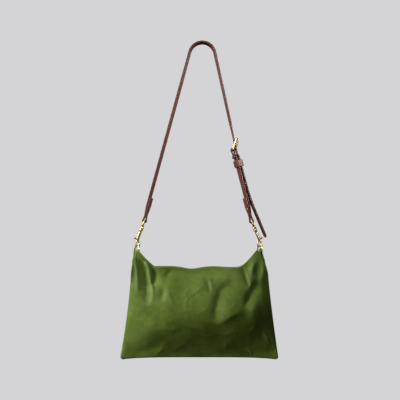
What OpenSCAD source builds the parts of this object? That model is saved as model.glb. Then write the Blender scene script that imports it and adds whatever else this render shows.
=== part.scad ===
// Hobo bag: waxed canvas pouch hung from a flat leather strap by two swivel bolt snaps.
// Millimetres. The origin is the underside of the strap's crown, where a peg or a
// shoulder holds the bag. X runs across the bag, the front faces -Y and Z is up.

/* [Strap] */
// Width of the leather strap
strap_w = 18; // [14:1:22]
// Thickness of one layer of strap leather
strap_t = 3; // [2.4:0.1:3.2]
// Middle radius of the crown, where the strap turns over its peg
crown_r = 24.5; // [18:0.5:32]
// Length of the folded-back layer above each snap
fold_len = 46; // [36:1:56]
// Length of the folded-back layer below the buckle
buckle_fold_len = 16; // [14:1:18]
// Length of the free strap end below the buckle
tail_len = 176; // [150:1:180]
// Distance between the adjusting holes
hole_pitch = 25; // [22:1:28]
// Diameter of an adjusting hole
hole_d = 3.6; // [3:0.1:4]

/* [Buckle and keeper] */
// Height of the buckle's heel bar below the crown
heel_drop = 203; // [190:1:215]
// Distance of the heel bar to the right of the crown
heel_x = 58.5; // [54:0.5:63]
// Radius of the heel bar
heel_bar_r = 1.5; // [1.2:0.1:1.7]
// Radius of the buckle's rim
buckle_rod_r = 1.6; // [1.3:0.1:1.8]
// Height of the keeper loop along the strap
keeper_h = 13; // [9:1:16]
// Wall of the keeper loop
keeper_t = 2; // [1.6:0.1:2.4]
// Distance of the keeper's middle below the heel bar
keeper_drop = 27.5; // [26:0.5:34]

/* [Snaps and rings] */
// Height of the hanging line, where the rings rest in the snaps
hang_drop = 386; // [360:1:410]
// Distance of the left ring from the crown's middle
left_ring_x = 123; // [115:1:130]
// Distance of the right ring from the crown's middle
right_ring_x = 110; // [102:1:117]
// Outward lean of the left snap, in degrees
left_lean = 21; // [15:1:26]
// Outward lean of the right snap, in degrees
right_lean = 24; // [18:1:28]
// Middle radius of the snap's bow
bow_r = 4.6; // [4.4:0.1:5.2]
// Radius of the bow's wire
bow_wire_r = 1.4; // [1.2:0.1:1.5]
// Distance from the eye bar down to the bow's centre
snap_len = 46; // [44:0.5:50]
// Radius of the ring's wire
ring_wire_r = 1.3; // [1.1:0.1:1.3]
// Middle half-width of the ring
ring_half = 8.7; // [7.5:0.1:9.5]
// Middle height of the ring
ring_tall = 13; // [12:0.5:15]
// How far the ring is turned from square across the bag, in degrees
ring_turn = 25; // [15:1:30]

/* [Bag] */
// Height of the mouth edge below the crown
mouth_drop = 424; // [415:1:435]
// Height of the bottom seam below the crown
bottom_drop = 596; // [560:1:620]
// How far the corners of the bottom droop
corner_droop = 4; // [2:1:10]
// How far the back of each ear stands above the mouth edge
ear_rise = 35; // [28:1:38]
// Width across the bag under the ears
top_w = 256.5; // [244:0.5:262]
// Largest fullness of one side
belly = 27; // [18:1:34]
// Thickness of one canvas panel
canvas_t = 1.4; // [1:0.1:1.8]
// Thickness of the lining
lining_t = 0.8; // [0.5:0.1:1]
// How far the mouth gapes beside the magnetic snap
gape = 7; // [5:0.5:12]

/* [Hidden] */
$fn = 48;

leather = "#5a2a1e";
brass = "#c8b25a";
canvas = "#5c6b30";
lining_cloth = "#8a8466";
steel = "#b8bcc0";

// Clearance between layers of leather, where the free end passes the buckle, around a
// moving metal part, and in a bearing.
layer_gap = 0.2;
pass_gap = 1.7;
play = 0.3;
run_fit = 0.06;
// Middle of a folded layer, measured from the fold's own line.
layer_n = strap_t / 2 + layer_gap / 2;
// Middle radius of leather that turns round a bar.
wrap_r = heel_bar_r + strap_t / 2 + 0.1;
// How far from a bar the two layers have closed up.
close_s = 8;
// Middle of the long strap, outside the short one.
outer_n = layer_n + strap_t + pass_gap;
arm_y = strap_w / 2 + 0.6 + heel_bar_r;

crown_c = [0.5, strap_t / 2 - crown_r];
heel = [heel_x, -heel_drop];
bow_dx = 3;
bow_z = bow_r - hang_drop;

// Eye bar of a snap, as x (outward) and z.
function eye_out(ring_x, lean) =
  [ring_x + bow_dx * cos(lean) - snap_len * sin(lean),
   bow_z + bow_dx * sin(lean) + snap_len * cos(lean)];
left_eye = eye_out(left_ring_x, left_lean);
right_eye = eye_out(right_ring_x, right_lean);

// Angle from the vertical of a leg that leaves the crown and passes a point
// (x outward, z) at a distance n outside it.
function leg_angle(x, z, n) =
  atan2(x, crown_c[1] - z) - asin((crown_r - n) / norm([x, crown_c[1] - z]));
left_angle = leg_angle(left_eye[0] + crown_c[0], left_eye[1], layer_n);
right_angle = leg_angle(heel[0] - crown_c[0], heel[1], outer_n);
short_angle = atan2(right_eye[0] - heel[0], heel[1] - right_eye[1]);
short_len = norm(right_eye - heel);

// Point at n outward and s down a line that leans outward by angle a from point o.
// side is -1 on the left of the bag and 1 on the right.
function on_line(o, a, side, n, s) =
  [side * (o[0] + n * cos(a) + s * sin(a)), o[1] + n * sin(a) - s * cos(a)];

// Outline of a band of thickness t along a path of [x, z] points.
function unit(v) = v / norm(v);
function heading(p, i) = unit(p[min(i + 1, len(p) - 1)] - p[max(i - 1, 0)]);
function edge(p, h) =
  [for (i = [0 : len(p) - 1]) p[i] + h * [-heading(p, i)[1], heading(p, i)[0]]];
function backward(p) = [for (i = [len(p) - 1 : -1 : 0]) p[i]];
function band(p, t) = concat(edge(p, t / 2), backward(edge(p, -t / 2)));

// Half turn of leather round a bar: from the inner side (n < 0) to the outer side.
function half_turn(r, s0, down) = [for (t = [0 : 15 : 180]) [-r * cos(t), s0 + down * r * sin(t)]];

// An XZ outline given the width of the strap along Y.
module across(w) {
  rotate([90, 0, 0])
    linear_extrude(height = w, center = true)
      children();
}

module rod(a, b, r) {
  d = b - a;
  translate(a)
    rotate([0, acos(d[2] / norm(d)), atan2(d[1], d[0])])
      cylinder(h = norm(d), r = r);
}

// ---- Strap ----

left_fold = concat(
  [[-layer_n, -fold_len], [-layer_n, -fold_len / 2], [-layer_n, -close_s]],
  half_turn(wrap_r, 0, 1),
  [[layer_n, -close_s], [layer_n, -fold_len]]);
crown_arc = [for (t = [180 - left_angle : -7 : right_angle]) crown_c + crown_r * [cos(t), sin(t)]];
// Distance out of the free end: straight, then a gentle bend, then straight again.
bend_start = 70;
bend_end = 105;
tail_slope = 0.14;
function tail_n(s) =
  s < bend_start ? outer_n :
  s < bend_end ? outer_n + tail_slope * pow(s - bend_start, 2) / (2 * (bend_end - bend_start)) :
  outer_n + tail_slope * ((bend_end - bend_start) / 2 + s - bend_end);
tail_path = [for (s = [4, bend_start, each [bend_start + 7 : 7 : bend_end], tail_len])
  on_line(heel, short_angle, 1, tail_n(s), s)];
long_path = concat(
  [for (q = left_fold) on_line(left_eye, left_angle, -1, q[0], q[1])],
  crown_arc,
  [on_line(heel, right_angle, 1, outer_n, -8)],
  tail_path);

in_use_s = -3;
slot_len = 7;

module long_strap() color(leather) {
  difference() {
    across(strap_w)
      polygon(band(long_path, strap_t));
    at_heel() {
      for (k = [1 : 5])
        translate([outer_n, 0, -in_use_s - k * hole_pitch])
          rotate([0, 90, 0])
            cylinder(h = 30, d = hole_d, center = true);
      in_use_hole();
    }
    translate([heel[0], 0, heel[1]])
      rotate([0, -right_angle, 0])
        for (k = [1 : 3])
          translate([outer_n, 0, -in_use_s + k * hole_pitch])
            rotate([0, 90, 0])
              cylinder(h = 12, d = hole_d, center = true);
    at_left_eye()
      rivet_hole(-fold_len / 2);
  }
}

// The hole in use, drawn into an oval by the prong.
module in_use_hole() {
  half = (slot_len - hole_d) / 2;
  for (z = [-half, half])
    translate([outer_n, 0, -in_use_s + z])
      rotate([0, 90, 0])
        cylinder(h = 8, d = hole_d, center = true);
  translate([outer_n - 4, -hole_d / 2, -in_use_s - half])
    cube([8, hole_d, 2 * half]);
}

// Frames: x is outward, z is up the strap.
module at_heel() {
  translate([heel[0], 0, heel[1]])
    rotate([0, -short_angle, 0])
      children();
}

module at_left_eye() {
  translate([-left_eye[0], 0, left_eye[1]])
    mirror([1, 0, 0])
      rotate([0, -left_angle, 0])
        children();
}

rivet_post_r = 1.5;
rivet_cap_r = 3.8;
rivet_cap_t = 0.7;
rivet_s = 12;

module rivet_hole(s) {
  translate([0, 0, -s])
    rotate([0, 90, 0])
      cylinder(h = 3 * strap_t, r = rivet_post_r, center = true);
}

module rivet() {
  outer = layer_n + strap_t / 2;
  color(brass)
    rotate([0, 90, 0]) {
      cylinder(h = 2 * outer, r = rivet_post_r, center = true);
      for (side = [-1, 1])
        translate([0, 0, side * (outer + rivet_cap_t / 2)])
          cylinder(h = rivet_cap_t, r = rivet_cap_r, center = true);
    }
}

module rivet_left() {
  at_left_eye()
    translate([0, 0, fold_len / 2])
      rivet();
}

module rivet_buckle() {
  at_heel()
    translate([0, 0, -rivet_s])
      rivet();
}

module rivet_right() {
  at_heel()
    translate([0, 0, -short_len + fold_len / 2])
      rivet();
}

short_path = concat(
  [[-layer_n, buckle_fold_len], [-layer_n, close_s]],
  half_turn(wrap_r, 0, -1),
  [[layer_n, close_s], [layer_n, short_len / 2], [layer_n, short_len - close_s]],
  backward(half_turn(wrap_r, short_len, 1)),
  [[-layer_n, short_len - close_s], [-layer_n, short_len - fold_len]]);

module short_strap() color(leather) {
  prong_gap = 4.8;
  difference() {
    across(strap_w)
      polygon(band([for (q = short_path) on_line(heel, short_angle, 1, q[0], q[1])], strap_t));
    at_heel() {
      rivet_hole(rivet_s);
      rivet_hole(short_len - fold_len / 2);
      // Slot at the fold, where the prong turns on the heel bar.
      translate([-6, -prong_gap / 2, -4])
        cube([12, prong_gap, 12]);
    }
  }
}

module rounded_block(x, y, z, r) {
  for (sx = [-1, 1], sy = [-1, 1])
    translate([sx * (x / 2 - r), sy * (y / 2 - r), 0])
      cylinder(h = z, r = r, center = true);
  cube([x - 2 * r, y, z], center = true);
  cube([x, y - 2 * r, z], center = true);
}

module keeper_loop() color(leather) {
  low_n = layer_n - strap_t / 2;
  high_n = outer_n + strap_t / 2;
  inner = high_n - low_n + 1;
  at_heel()
    translate([(low_n + high_n) / 2, 0, -keeper_drop])
      difference() {
        rounded_block(inner + 2 * keeper_t, strap_w + 1.2 + 2 * keeper_t, keeper_h, 2);
        cube([inner, strap_w + 1.2, keeper_h + 1], center = true);
      }
}

// ---- Buckle ----

frame_x = 13;
frame_z = 20.5;

module buckle_frame() color(brass)
  at_heel() {
    rod([0, -arm_y, 0], [0, arm_y, 0], heel_bar_r);
    rod([frame_x, -arm_y, frame_z], [frame_x, arm_y, frame_z], buckle_rod_r);
    for (side = [-1, 1]) {
      rod([0, side * arm_y, 0], [frame_x, side * arm_y, frame_z], heel_bar_r);
      translate([0, side * arm_y, 0])
        sphere(r = heel_bar_r);
      translate([frame_x, side * arm_y, frame_z])
        sphere(r = buckle_rod_r);
    }
  }

prong_r = 1.2;
prong_knee = [9.5, 0, 5.5];
// Where the prong lies on the outer side of the rim, and its tip.
prong_reach = buckle_rod_r + prong_r + play;
prong_rest = [frame_x + prong_reach * 0.84, 0, frame_z - prong_reach * 0.54];
prong_tip = prong_rest + 3 * unit(prong_rest - prong_knee);

module buckle_prong() color(brass)
  at_heel() {
    difference() {
      union() {
        rotate([90, 0, 0])
          cylinder(h = 3.6, r = 2.9, center = true);
        rod([0.4, 0, 0.25], prong_knee, prong_r);
      }
      rotate([90, 0, 0])
        cylinder(h = 10, r = heel_bar_r + run_fit, center = true);
    }
    translate(prong_knee)
      sphere(r = prong_r + 0.04);
    rod(prong_knee, prong_tip, prong_r);
    translate(prong_tip)
      sphere(r = prong_r + 0.04);
  }

// ---- Snaps: x is outward, z is up the shank, the eye bar is at the origin ----

module at_snap(side) {
  eye = side < 0 ? left_eye : right_eye;
  lean = side < 0 ? left_lean : right_lean;
  translate([side * eye[0], 0, eye[1]])
    mirror([side < 0 ? 1 : 0, 0, 0])
      rotate([0, -lean, 0])
        children();
}

eye_wire_r = 1.5;
eye_low = -9.5;
stem_r = 1.5;
stem_low = -16.5;
flange_r = 2.4;
flange_h = 1.2;
collar_top = -11.6;
collar_low = -19.5;
collar_r = 3.5;
shank_r = 2.9;
shank_low = -39;
bolt_r = 1.5;
bolt_top = -27.5;
bolt_low = -46.4;
bolt_travel = 6;
knob_z = -36.6;
knob_r = 2;
knob_x = 5.4;
cavity_low = -17.2;

module swivel_eye(side) color(brass)
  at_snap(side) {
    rod([0, -arm_y, 0], [0, arm_y, 0], eye_wire_r);
    rod([0, -arm_y, eye_low], [0, arm_y, eye_low], eye_wire_r);
    for (y = [-arm_y, arm_y]) {
      rod([0, y, eye_low], [0, y, 0], eye_wire_r);
      translate([0, y, 0])
        sphere(r = eye_wire_r);
      translate([0, y, eye_low])
        sphere(r = eye_wire_r);
    }
    rod([0, 0, stem_low], [0, 0, eye_low], stem_r);
    translate([0, 0, stem_low])
      cylinder(h = flange_h, r = flange_r);
  }

module snap_hook(side) color(brass)
  at_snap(side)
    difference() {
      union() {
        translate([0, 0, collar_low])
          cylinder(h = collar_top - collar_low, r = collar_r);
        translate([0, 0, shank_low])
          cylinder(h = collar_low - shank_low + 1, r = shank_r);
        bow();
      }
      // Bearing of the swivel's stem and the room for its flange.
      translate([0, 0, cavity_low])
        cylinder(h = 20, r = stem_r + run_fit);
      translate([0, 0, cavity_low])
        cylinder(h = -cavity_low + stem_low + flange_h + play, r = flange_r + play);
      // Bore of the bolt and the slot of its knob.
      translate([0, 0, bolt_low - 1])
        cylinder(h = cavity_low - bolt_low + 1.1, r = bolt_r + run_fit);
      translate([0, -1.3, knob_z - 1.3])
        cube([5, 2.6, bolt_travel + 2.6]);
    }

// The bow turns from the shank's inner side round to the tip under the bolt.
bow_from = 100;
bow_to = 328;
function bow_at(t) = [-bow_dx + bow_r * cos(t), 0, -snap_len + bow_r * sin(t)];

module bow() {
  translate([-bow_dx, 0, -snap_len])
    rotate([90, 0, 0])
      rotate([0, 0, bow_from])
        rotate_extrude(angle = bow_to - bow_from)
          translate([bow_r, 0])
            circle(r = bow_wire_r);
  translate(bow_at(bow_to))
    sphere(r = bow_wire_r);
  translate(bow_at(bow_from))
    sphere(r = bow_wire_r);
  rod([-1.1, 0, shank_low + 2], bow_at(bow_from), bow_wire_r);
}

module snap_bolt(side) color(brass)
  at_snap(side) {
    rod([0, 0, bolt_low], [0, 0, bolt_top], bolt_r);
    rod([0, 0, knob_z], [knob_x, 0, knob_z], 1);
    translate([knob_x, 0, knob_z])
      sphere(r = knob_r);
  }

// Compression spring between the bolt and the end of its bore.
spring_turns = 5;
spring_r = 1.05;
spring_wire_r = 0.25;
spring_low = bolt_top + 0.4;
spring_high = cavity_low - 0.4;
spring_steps = 14;
spring_sides = 6;

module snap_spring(side) color(steel)
  at_snap(side) {
    n = spring_turns * spring_steps;
    rise = (spring_high - spring_low) / n;
    ring = [for (i = [0 : n], k = [0 : spring_sides - 1])
      let (a = 360 * i / spring_steps, b = 360 * k / spring_sides, r = spring_r + spring_wire_r * cos(b))
      [r * cos(a), r * sin(a), spring_low + rise * i + spring_wire_r * sin(b)]];
    sides = [for (i = [0 : n - 1], k = [0 : spring_sides - 1])
      let (p = i * spring_sides, q = (k + 1) % spring_sides, r = p + spring_sides) each
      [[p + k, p + q, r + q], [p + k, r + q, r + k]]];
    first = [for (k = [spring_sides - 1 : -1 : 0]) k];
    last = [for (k = [0 : spring_sides - 1]) n * spring_sides + k];
    polyhedron(ring, concat(sides, [first, last]));
  }

// ---- Rings and tabs ----

// The ring's wire lies on the bow with a small gap; its flat bar is at the bottom.
ring_gap = 0.8;
ring_top = -hang_drop + bow_wire_r + ring_wire_r + ring_gap;
ring_bar = ring_top - ring_tall;

module at_ring(x) {
  translate([x, 0, ring_bar])
    rotate([0, 0, ring_turn])
      children();
}

module d_ring(x) color(brass)
  at_ring(x) {
    rod([0, -ring_half, 0], [0, ring_half, 0], ring_wire_r);
    for (y = [-ring_half, ring_half]) {
      translate([0, y, 0])
        sphere(r = ring_wire_r);
      rod([0, y, 0], [0, y, ring_tall - ring_half], ring_wire_r);
    }
    translate([0, 0, ring_tall - ring_half])
      rotate([90, 0, 90])
        rotate_extrude(angle = 180)
          translate([ring_half, 0])
            circle(r = ring_wire_r);
  }

tab_w = 13;
tab_t = 1.2;
tab_len = 26;
tab_wrap = ring_wire_r + play + tab_t / 2;
tab_path = concat(
  [[-tab_t / 2 - 0.05, tab_len], [-tab_t / 2 - 0.05, 6]],
  half_turn(tab_wrap, 0, -1),
  [[tab_t / 2 + 0.05, 6], [tab_t / 2 + 0.05, tab_len]]);

module ring_tab(x) color(canvas)
  at_ring(x)
    across(tab_w)
      polygon(band([for (q = tab_path) [q[0], -q[1]]], tab_t));

// ---- Bag: u runs from -1 at the left seam to 1 at the right, v from 0 at the bottom to 1 at the top ----

bag_mid_x = (right_ring_x - left_ring_x) / 2 + 1.25;
magnet_x = -20;
magnet_z = -mouth_drop - 15;
seam_gap = 0.6;
// The sides flare to the bottom and draw in at the ears. Pairs are [left, right].
flare = [22, 22];
flare_power = [1.6, 1.25];
draw_in = [2, 4.5];

function smooth(t) = let (c = min(max(t, 0), 1)) c * c * (3 - 2 * c);
function bag_x(u, v) =
  let (k = u < 0 ? 0 : 1)
  bag_mid_x
  + u * (top_w / 2 + flare[k] * pow(1 - v, flare_power[k]) - draw_in[k] * smooth((v - 0.85) / 0.15));
// Each ear climbs from where it starts to its peak, then falls to the seam. The front of
// an ear peaks lower than the back, and further in. Pairs are [left, right].
ear_from = [0.676, 0.61];
ear_power = [1.1, 1.4];
ear_fall = 0.6;
front_peak = [0.92, 0.88];
back_peak = [0.985, 0.95];
front_lower = 3;
function ear(u, peak) =
  let (a = abs(u), k = u < 0 ? 0 : 1)
  a < peak[k]
    ? pow(max((a - ear_from[k]) / (peak[k] - ear_from[k]), 0), ear_power[k])
    : 1 - ear_fall * (a - peak[k]) / (1.001 - peak[k]);
// The mouth edge sags over the magnetic snap, and a little to its right.
function dip(u) =
  let (x = bag_x(u, 1))
  4.5 * exp(-pow((x - magnet_x) / 20, 2)) + 2 * exp(-pow((x - 55) / 22, 2));
function top_z(u, side) =
  -mouth_drop - dip(u)
  + (side < 0 ? ear_rise - front_lower : ear_rise) * ear(u, side < 0 ? front_peak : back_peak);
function bottom_z(u) = -bottom_drop - corner_droop * pow(abs(u), 4);
function bag_z(u, v, side) = bottom_z(u) + (top_z(u, side) - bottom_z(u)) * v;
// Half the distance between the panels: the belly, the gap at the mouth, and the ears,
// which stand apart to leave room for the ring between them.
snap_depth = 3;
ear_depth = 9.5;
// Below 1, the fullest part of the belly sags under the middle of the panel.
belly_low = 0.95;
function half_depth(u, v) =
  seam_gap
  + belly * pow(max(1 - pow(abs(u), 2.6), 0), 0.8) * pow(max(sin(180 * pow(v, belly_low)), 0), 1.5)
  + (snap_depth + gape * pow(sin(180 * abs(u)), 2)) * pow(v, 4)
    * (1 - smooth((abs(u) - 0.8) / 0.2))
  + ear_depth * smooth((abs(u) - 0.72) / 0.26) * smooth((v - 0.74) / 0.24);

// Faces of a closed sheet whose points are two layers of n columns and m rows.
function sheet_faces(n, m) =
  let (step = n * m)
  concat(
    [for (j = [0 : m - 2], i = [0 : n - 2])
      let (p = j * n + i) each
      [[p, p + 1, p + n + 1, p + n],
       [step + p, step + p + n, step + p + n + 1, step + p + 1]]],
    [for (i = [0 : n - 2])
      let (p = i, q = (m - 1) * n + i) each
      [[p, step + p, step + p + 1, p + 1],
       [q, q + 1, step + q + 1, step + q]]],
    [for (j = [0 : m - 2])
      let (p = j * n, q = j * n + n - 1) each
      [[p, p + n, step + p + n, step + p],
       [q, step + q, step + q + n, q + n]]]);

// A shell on one side of the bag, between two depths below the panel's inner face.
// side is -1 for the front and 1 for the back.
module bag_shell(side, us, vs, near, far) {
  points = [for (d = [near, far], v = vs, u = us)
    [bag_x(u, v), side * (half_depth(u, v) + d), bag_z(u, v, side)]];
  faces = sheet_faces(len(us), len(vs));
  polyhedron(points, side > 0 ? faces : [for (f = faces) backward(f)]);
}

function steps(a, b, n) = [for (i = [0 : n]) a + (b - a) * i / n];
panel_us = concat(steps(-1, -0.64, 8), steps(-0.56, 0.56, 14), steps(0.64, 1, 8));
panel_vs = concat(steps(0, 0.12, 3), steps(0.2, 0.84, 8), steps(0.88, 1, 3));

module panel(side)
  color(canvas)
    bag_shell(side, panel_us, panel_vs, 0, canvas_t);

// Facings line the inside of the mouth; the linings hang below them.
facing_t = 1;
facing_us = steps(-0.66, 0.66, 22);
facing_vs = [0.86, 0.88, 0.92, 0.96, 0.995];
module facing(side)
  color(canvas)
    bag_shell(side, facing_us, facing_vs, -play - facing_t, -play);

lining_gap = 0.6;
lining_us = steps(-0.88, 0.88, 20);
lining_vs = steps(0.06, 0.85, 12);
module lining(side)
  color(lining_cloth)
    bag_shell(side, lining_us, lining_vs, -lining_gap - lining_t, -lining_gap);

// The pocket is sewn to the back lining.
pocket_depth = lining_gap + lining_t + play;
pocket_us = steps(-0.45, 0.4, 12);
pocket_vs = steps(0.4, 0.78, 6);
module slip_pocket()
  color(lining_cloth)
    bag_shell(1, pocket_us, pocket_vs, -pocket_depth - lining_t, -pocket_depth);

// Tape sewn into the seams, between the two panels.
tape_t = 0.8;
module seam_tape(us, vs) {
  points = [for (y = [-tape_t / 2, tape_t / 2], v = vs, u = us)
    [bag_x(u, v), y, bag_z(u, v, -1)]];
  color(leather)
    polyhedron(points, [for (f = sheet_faces(len(us), len(vs))) backward(f)]);
}

module seam_tape_left() seam_tape(steps(-1, -0.97, 1), steps(0.05, 0.7, 12));
module seam_tape_right() seam_tape(steps(0.97, 1, 1), steps(0.05, 0.7, 12));
module seam_tape_bottom() seam_tape(steps(-0.96, 0.96, 24), steps(0, 0.04, 1));

// ---- Magnetic snap ----

magnet_r = 7;
washer_r = 6;
washer_t = 0.5;
// Half the gap between the two magnets, and the room behind a washer and a magnet.
magnet_gap = 0.15;
washer_room = 1.3;
magnet_room = 0.1;
magnet_u = (magnet_x - bag_mid_x) * 2 / top_w;
magnet_v = (magnet_z - bottom_z(magnet_u)) / (top_z(magnet_u, -1) - bottom_z(magnet_u));
// Inner face of the facing, where the washer is set.
washer_far = half_depth(magnet_u, magnet_v) - play - facing_t - washer_room;
magnet_far = washer_far - washer_t - magnet_room;

module disc(side, near, far, r) {
  translate([magnet_x, side * (near + far) / 2, magnet_z])
    rotate([90, 0, 0])
      cylinder(h = far - near, r = r, center = true);
}

module magnet(side) color(steel) disc(side, magnet_gap, magnet_far, magnet_r);
module magnet_washer(side) color(steel) disc(side, washer_far - washer_t, washer_far, washer_r);

long_strap();
short_strap();
keeper_loop();
buckle_frame();
buckle_prong();
rivet_left();
rivet_buckle();
rivet_right();
swivel_eye(-1);  // swivel_eye_left
snap_hook(-1);  // snap_hook_left
snap_bolt(-1);  // snap_bolt_left
snap_spring(-1);  // snap_spring_left
swivel_eye(1);  // swivel_eye_right
snap_hook(1);  // snap_hook_right
snap_bolt(1);  // snap_bolt_right
snap_spring(1);  // snap_spring_right
d_ring(-left_ring_x);  // d_ring_left
d_ring(right_ring_x);  // d_ring_right
ring_tab(-left_ring_x);  // ring_tab_left
ring_tab(right_ring_x);  // ring_tab_right
panel(-1);  // front_panel
panel(1);  // back_panel
facing(-1);  // front_facing
facing(1);  // back_facing
lining(-1);  // front_lining
lining(1);  // back_lining
slip_pocket();
seam_tape_left();
seam_tape_right();
seam_tape_bottom();
magnet(-1);  // magnet_front
magnet(1);  // magnet_back
magnet_washer(-1);  // magnet_washer_front
magnet_washer(1);  // magnet_washer_back
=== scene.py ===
"""Hobo bag: waxed canvas pouch on a flat leather strap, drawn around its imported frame."""
import math

import bpy
import numpy as np
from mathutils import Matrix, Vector


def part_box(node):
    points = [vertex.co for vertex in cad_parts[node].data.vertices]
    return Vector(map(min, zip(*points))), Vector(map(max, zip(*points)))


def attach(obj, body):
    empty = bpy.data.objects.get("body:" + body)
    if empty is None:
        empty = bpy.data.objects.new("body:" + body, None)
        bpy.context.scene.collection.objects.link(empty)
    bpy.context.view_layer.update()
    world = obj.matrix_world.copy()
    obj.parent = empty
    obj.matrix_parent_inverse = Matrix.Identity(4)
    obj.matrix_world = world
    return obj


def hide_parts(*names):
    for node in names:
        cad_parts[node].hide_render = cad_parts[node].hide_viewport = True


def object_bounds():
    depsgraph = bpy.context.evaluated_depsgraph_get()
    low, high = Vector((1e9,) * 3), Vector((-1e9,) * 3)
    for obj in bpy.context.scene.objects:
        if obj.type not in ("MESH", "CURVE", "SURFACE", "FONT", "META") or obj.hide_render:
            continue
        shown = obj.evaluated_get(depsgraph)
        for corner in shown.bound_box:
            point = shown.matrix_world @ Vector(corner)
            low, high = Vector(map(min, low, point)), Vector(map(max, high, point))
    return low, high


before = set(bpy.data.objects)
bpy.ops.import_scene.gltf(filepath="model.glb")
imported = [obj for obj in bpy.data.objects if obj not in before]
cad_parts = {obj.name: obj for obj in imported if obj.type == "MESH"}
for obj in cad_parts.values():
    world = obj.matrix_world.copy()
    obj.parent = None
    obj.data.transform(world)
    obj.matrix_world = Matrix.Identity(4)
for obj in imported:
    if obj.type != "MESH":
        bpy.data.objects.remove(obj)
cad_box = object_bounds()
MM = 0.001

# ---- Camera, light and floor ----

VIEW_WIDTH = 0.76
CAMERA_LENS = 100
SENSOR = 36
BACKDROP = "D4D4D6"


def linear(hex_colour):
    """An sRGB hex colour as linear RGBA."""
    parts = [int(hex_colour[i:i + 2], 16) / 255 for i in (0, 2, 4)]
    return [p / 12.92 if p <= 0.04045 else ((p + 0.055) / 1.055) ** 2.4 for p in parts] + [1.0]


def add(tree, kind, inputs=None, **settings):
    """A node with its settings, and its inputs linked or set."""
    made = tree.nodes.new(kind)
    for key, value in settings.items():
        setattr(made, key, value)
    for key, value in (inputs or {}).items():
        socket = made.inputs[key]
        if isinstance(value, bpy.types.NodeSocket):
            tree.links.new(value, socket)
        else:
            socket.default_value = value
    return made


def set_camera():
    lens = bpy.data.cameras.new("studio_camera")
    lens.lens = CAMERA_LENS
    lens.sensor_width = SENSOR
    camera = bpy.data.objects.new("studio_camera", lens)
    bpy.context.scene.collection.objects.link(camera)
    distance = VIEW_WIDTH * CAMERA_LENS / SENSOR
    camera.location = (-0.0038, -distance, -0.2977)
    camera.rotation_euler = (math.radians(90), 0, 0)
    bpy.context.scene.camera = camera


def set_light(name, at, power, size, aim, spread=180):
    lamp = bpy.data.lights.new(name, "AREA")
    lamp.energy = power
    lamp.shape = "SQUARE"
    lamp.size = size
    lamp.spread = math.radians(spread)
    holder = bpy.data.objects.new(name, lamp)
    bpy.context.scene.collection.objects.link(holder)
    holder.location = at
    holder.rotation_euler = (Vector(aim) - Vector(at)).to_track_quat("-Z", "Y").to_euler()
    return lamp


def set_stage():
    """A pale floor and an even grey room: the camera sees the grey, the cloth gets a weak fill, and
    the metal has pale walls to reflect."""
    fill, walls = 0.028, 0.42
    world = bpy.data.worlds.new("grey_room")
    bpy.context.scene.world = world
    world.use_nodes = True
    tree = world.node_tree
    tree.nodes.clear()
    ray = add(tree, "ShaderNodeLightPath").outputs
    grey = add(tree, "ShaderNodeBackground", {"Color": linear(BACKDROP), "Strength": 1})
    level = add(tree, "ShaderNodeMath", {0: ray["Is Glossy Ray"], 1: walls - fill, 2: fill},
                operation="MULTIPLY_ADD").outputs[0]
    dim = add(tree, "ShaderNodeBackground", {"Color": linear("D8DDE6"), "Strength": level})
    mixed = add(tree, "ShaderNodeMixShader",
                {0: ray["Is Camera Ray"], 1: dim.outputs[0], 2: grey.outputs[0]})
    add(tree, "ShaderNodeOutputWorld", {"Surface": mixed.outputs[0]})

    floor_z = cad_box[0].z - 0.18
    half = 6.0
    mesh = bpy.data.meshes.new("studio_floor")
    mesh.from_pydata([(-half, -half, floor_z), (half, -half, floor_z), (half, half, floor_z),
                      (-half, half, floor_z)], [], [(0, 1, 2, 3)])
    floor = bpy.data.objects.new("studio_floor", mesh)
    bpy.context.scene.collection.objects.link(floor)
    paint = bpy.data.materials.new("pale_floor_paint")
    paint.use_nodes = True
    tree = paint.node_tree
    tree.nodes.clear()
    seen = add(tree, "ShaderNodeLightPath").outputs["Is Camera Ray"]
    matt = add(tree, "ShaderNodeBsdfDiffuse", {"Color": linear("3A3A3C")})
    even = add(tree, "ShaderNodeEmission", {"Color": linear(BACKDROP), "Strength": 1})
    mixed = add(tree, "ShaderNodeMixShader", {0: seen, 1: matt.outputs[0], 2: even.outputs[0]})
    add(tree, "ShaderNodeOutputMaterial", {"Surface": mixed.outputs[0]})
    mesh.materials.append(paint)


set_camera()
BAG_MIDDLE, STRAP_MIDDLE = (-0.006, 0, -0.42), (-0.01, 0, -0.12)
set_light("key_light", (-1.86, -0.72, 0.72), 64, 0.6, BAG_MIDDLE)
set_light("front_fill", (-0.5, -2.4, 0.5), 2.4, 1.2, BAG_MIDDLE)
set_light("low_fill", (-1.75, -1.4, -1.15), 36, 1.0, BAG_MIDDLE)
set_light("strap_fill", (1.3, -1.6, 0.45), 0.7, 0.25, STRAP_MIDDLE, 18)
set_light("back_light", (0.35, 2.1, 0.6), 26, 1.0, BAG_MIDDLE)
set_stage()
bpy.context.scene.view_settings.view_transform = "Standard"

# ---- Sizes shared with the frame, in millimetres ----

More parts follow.
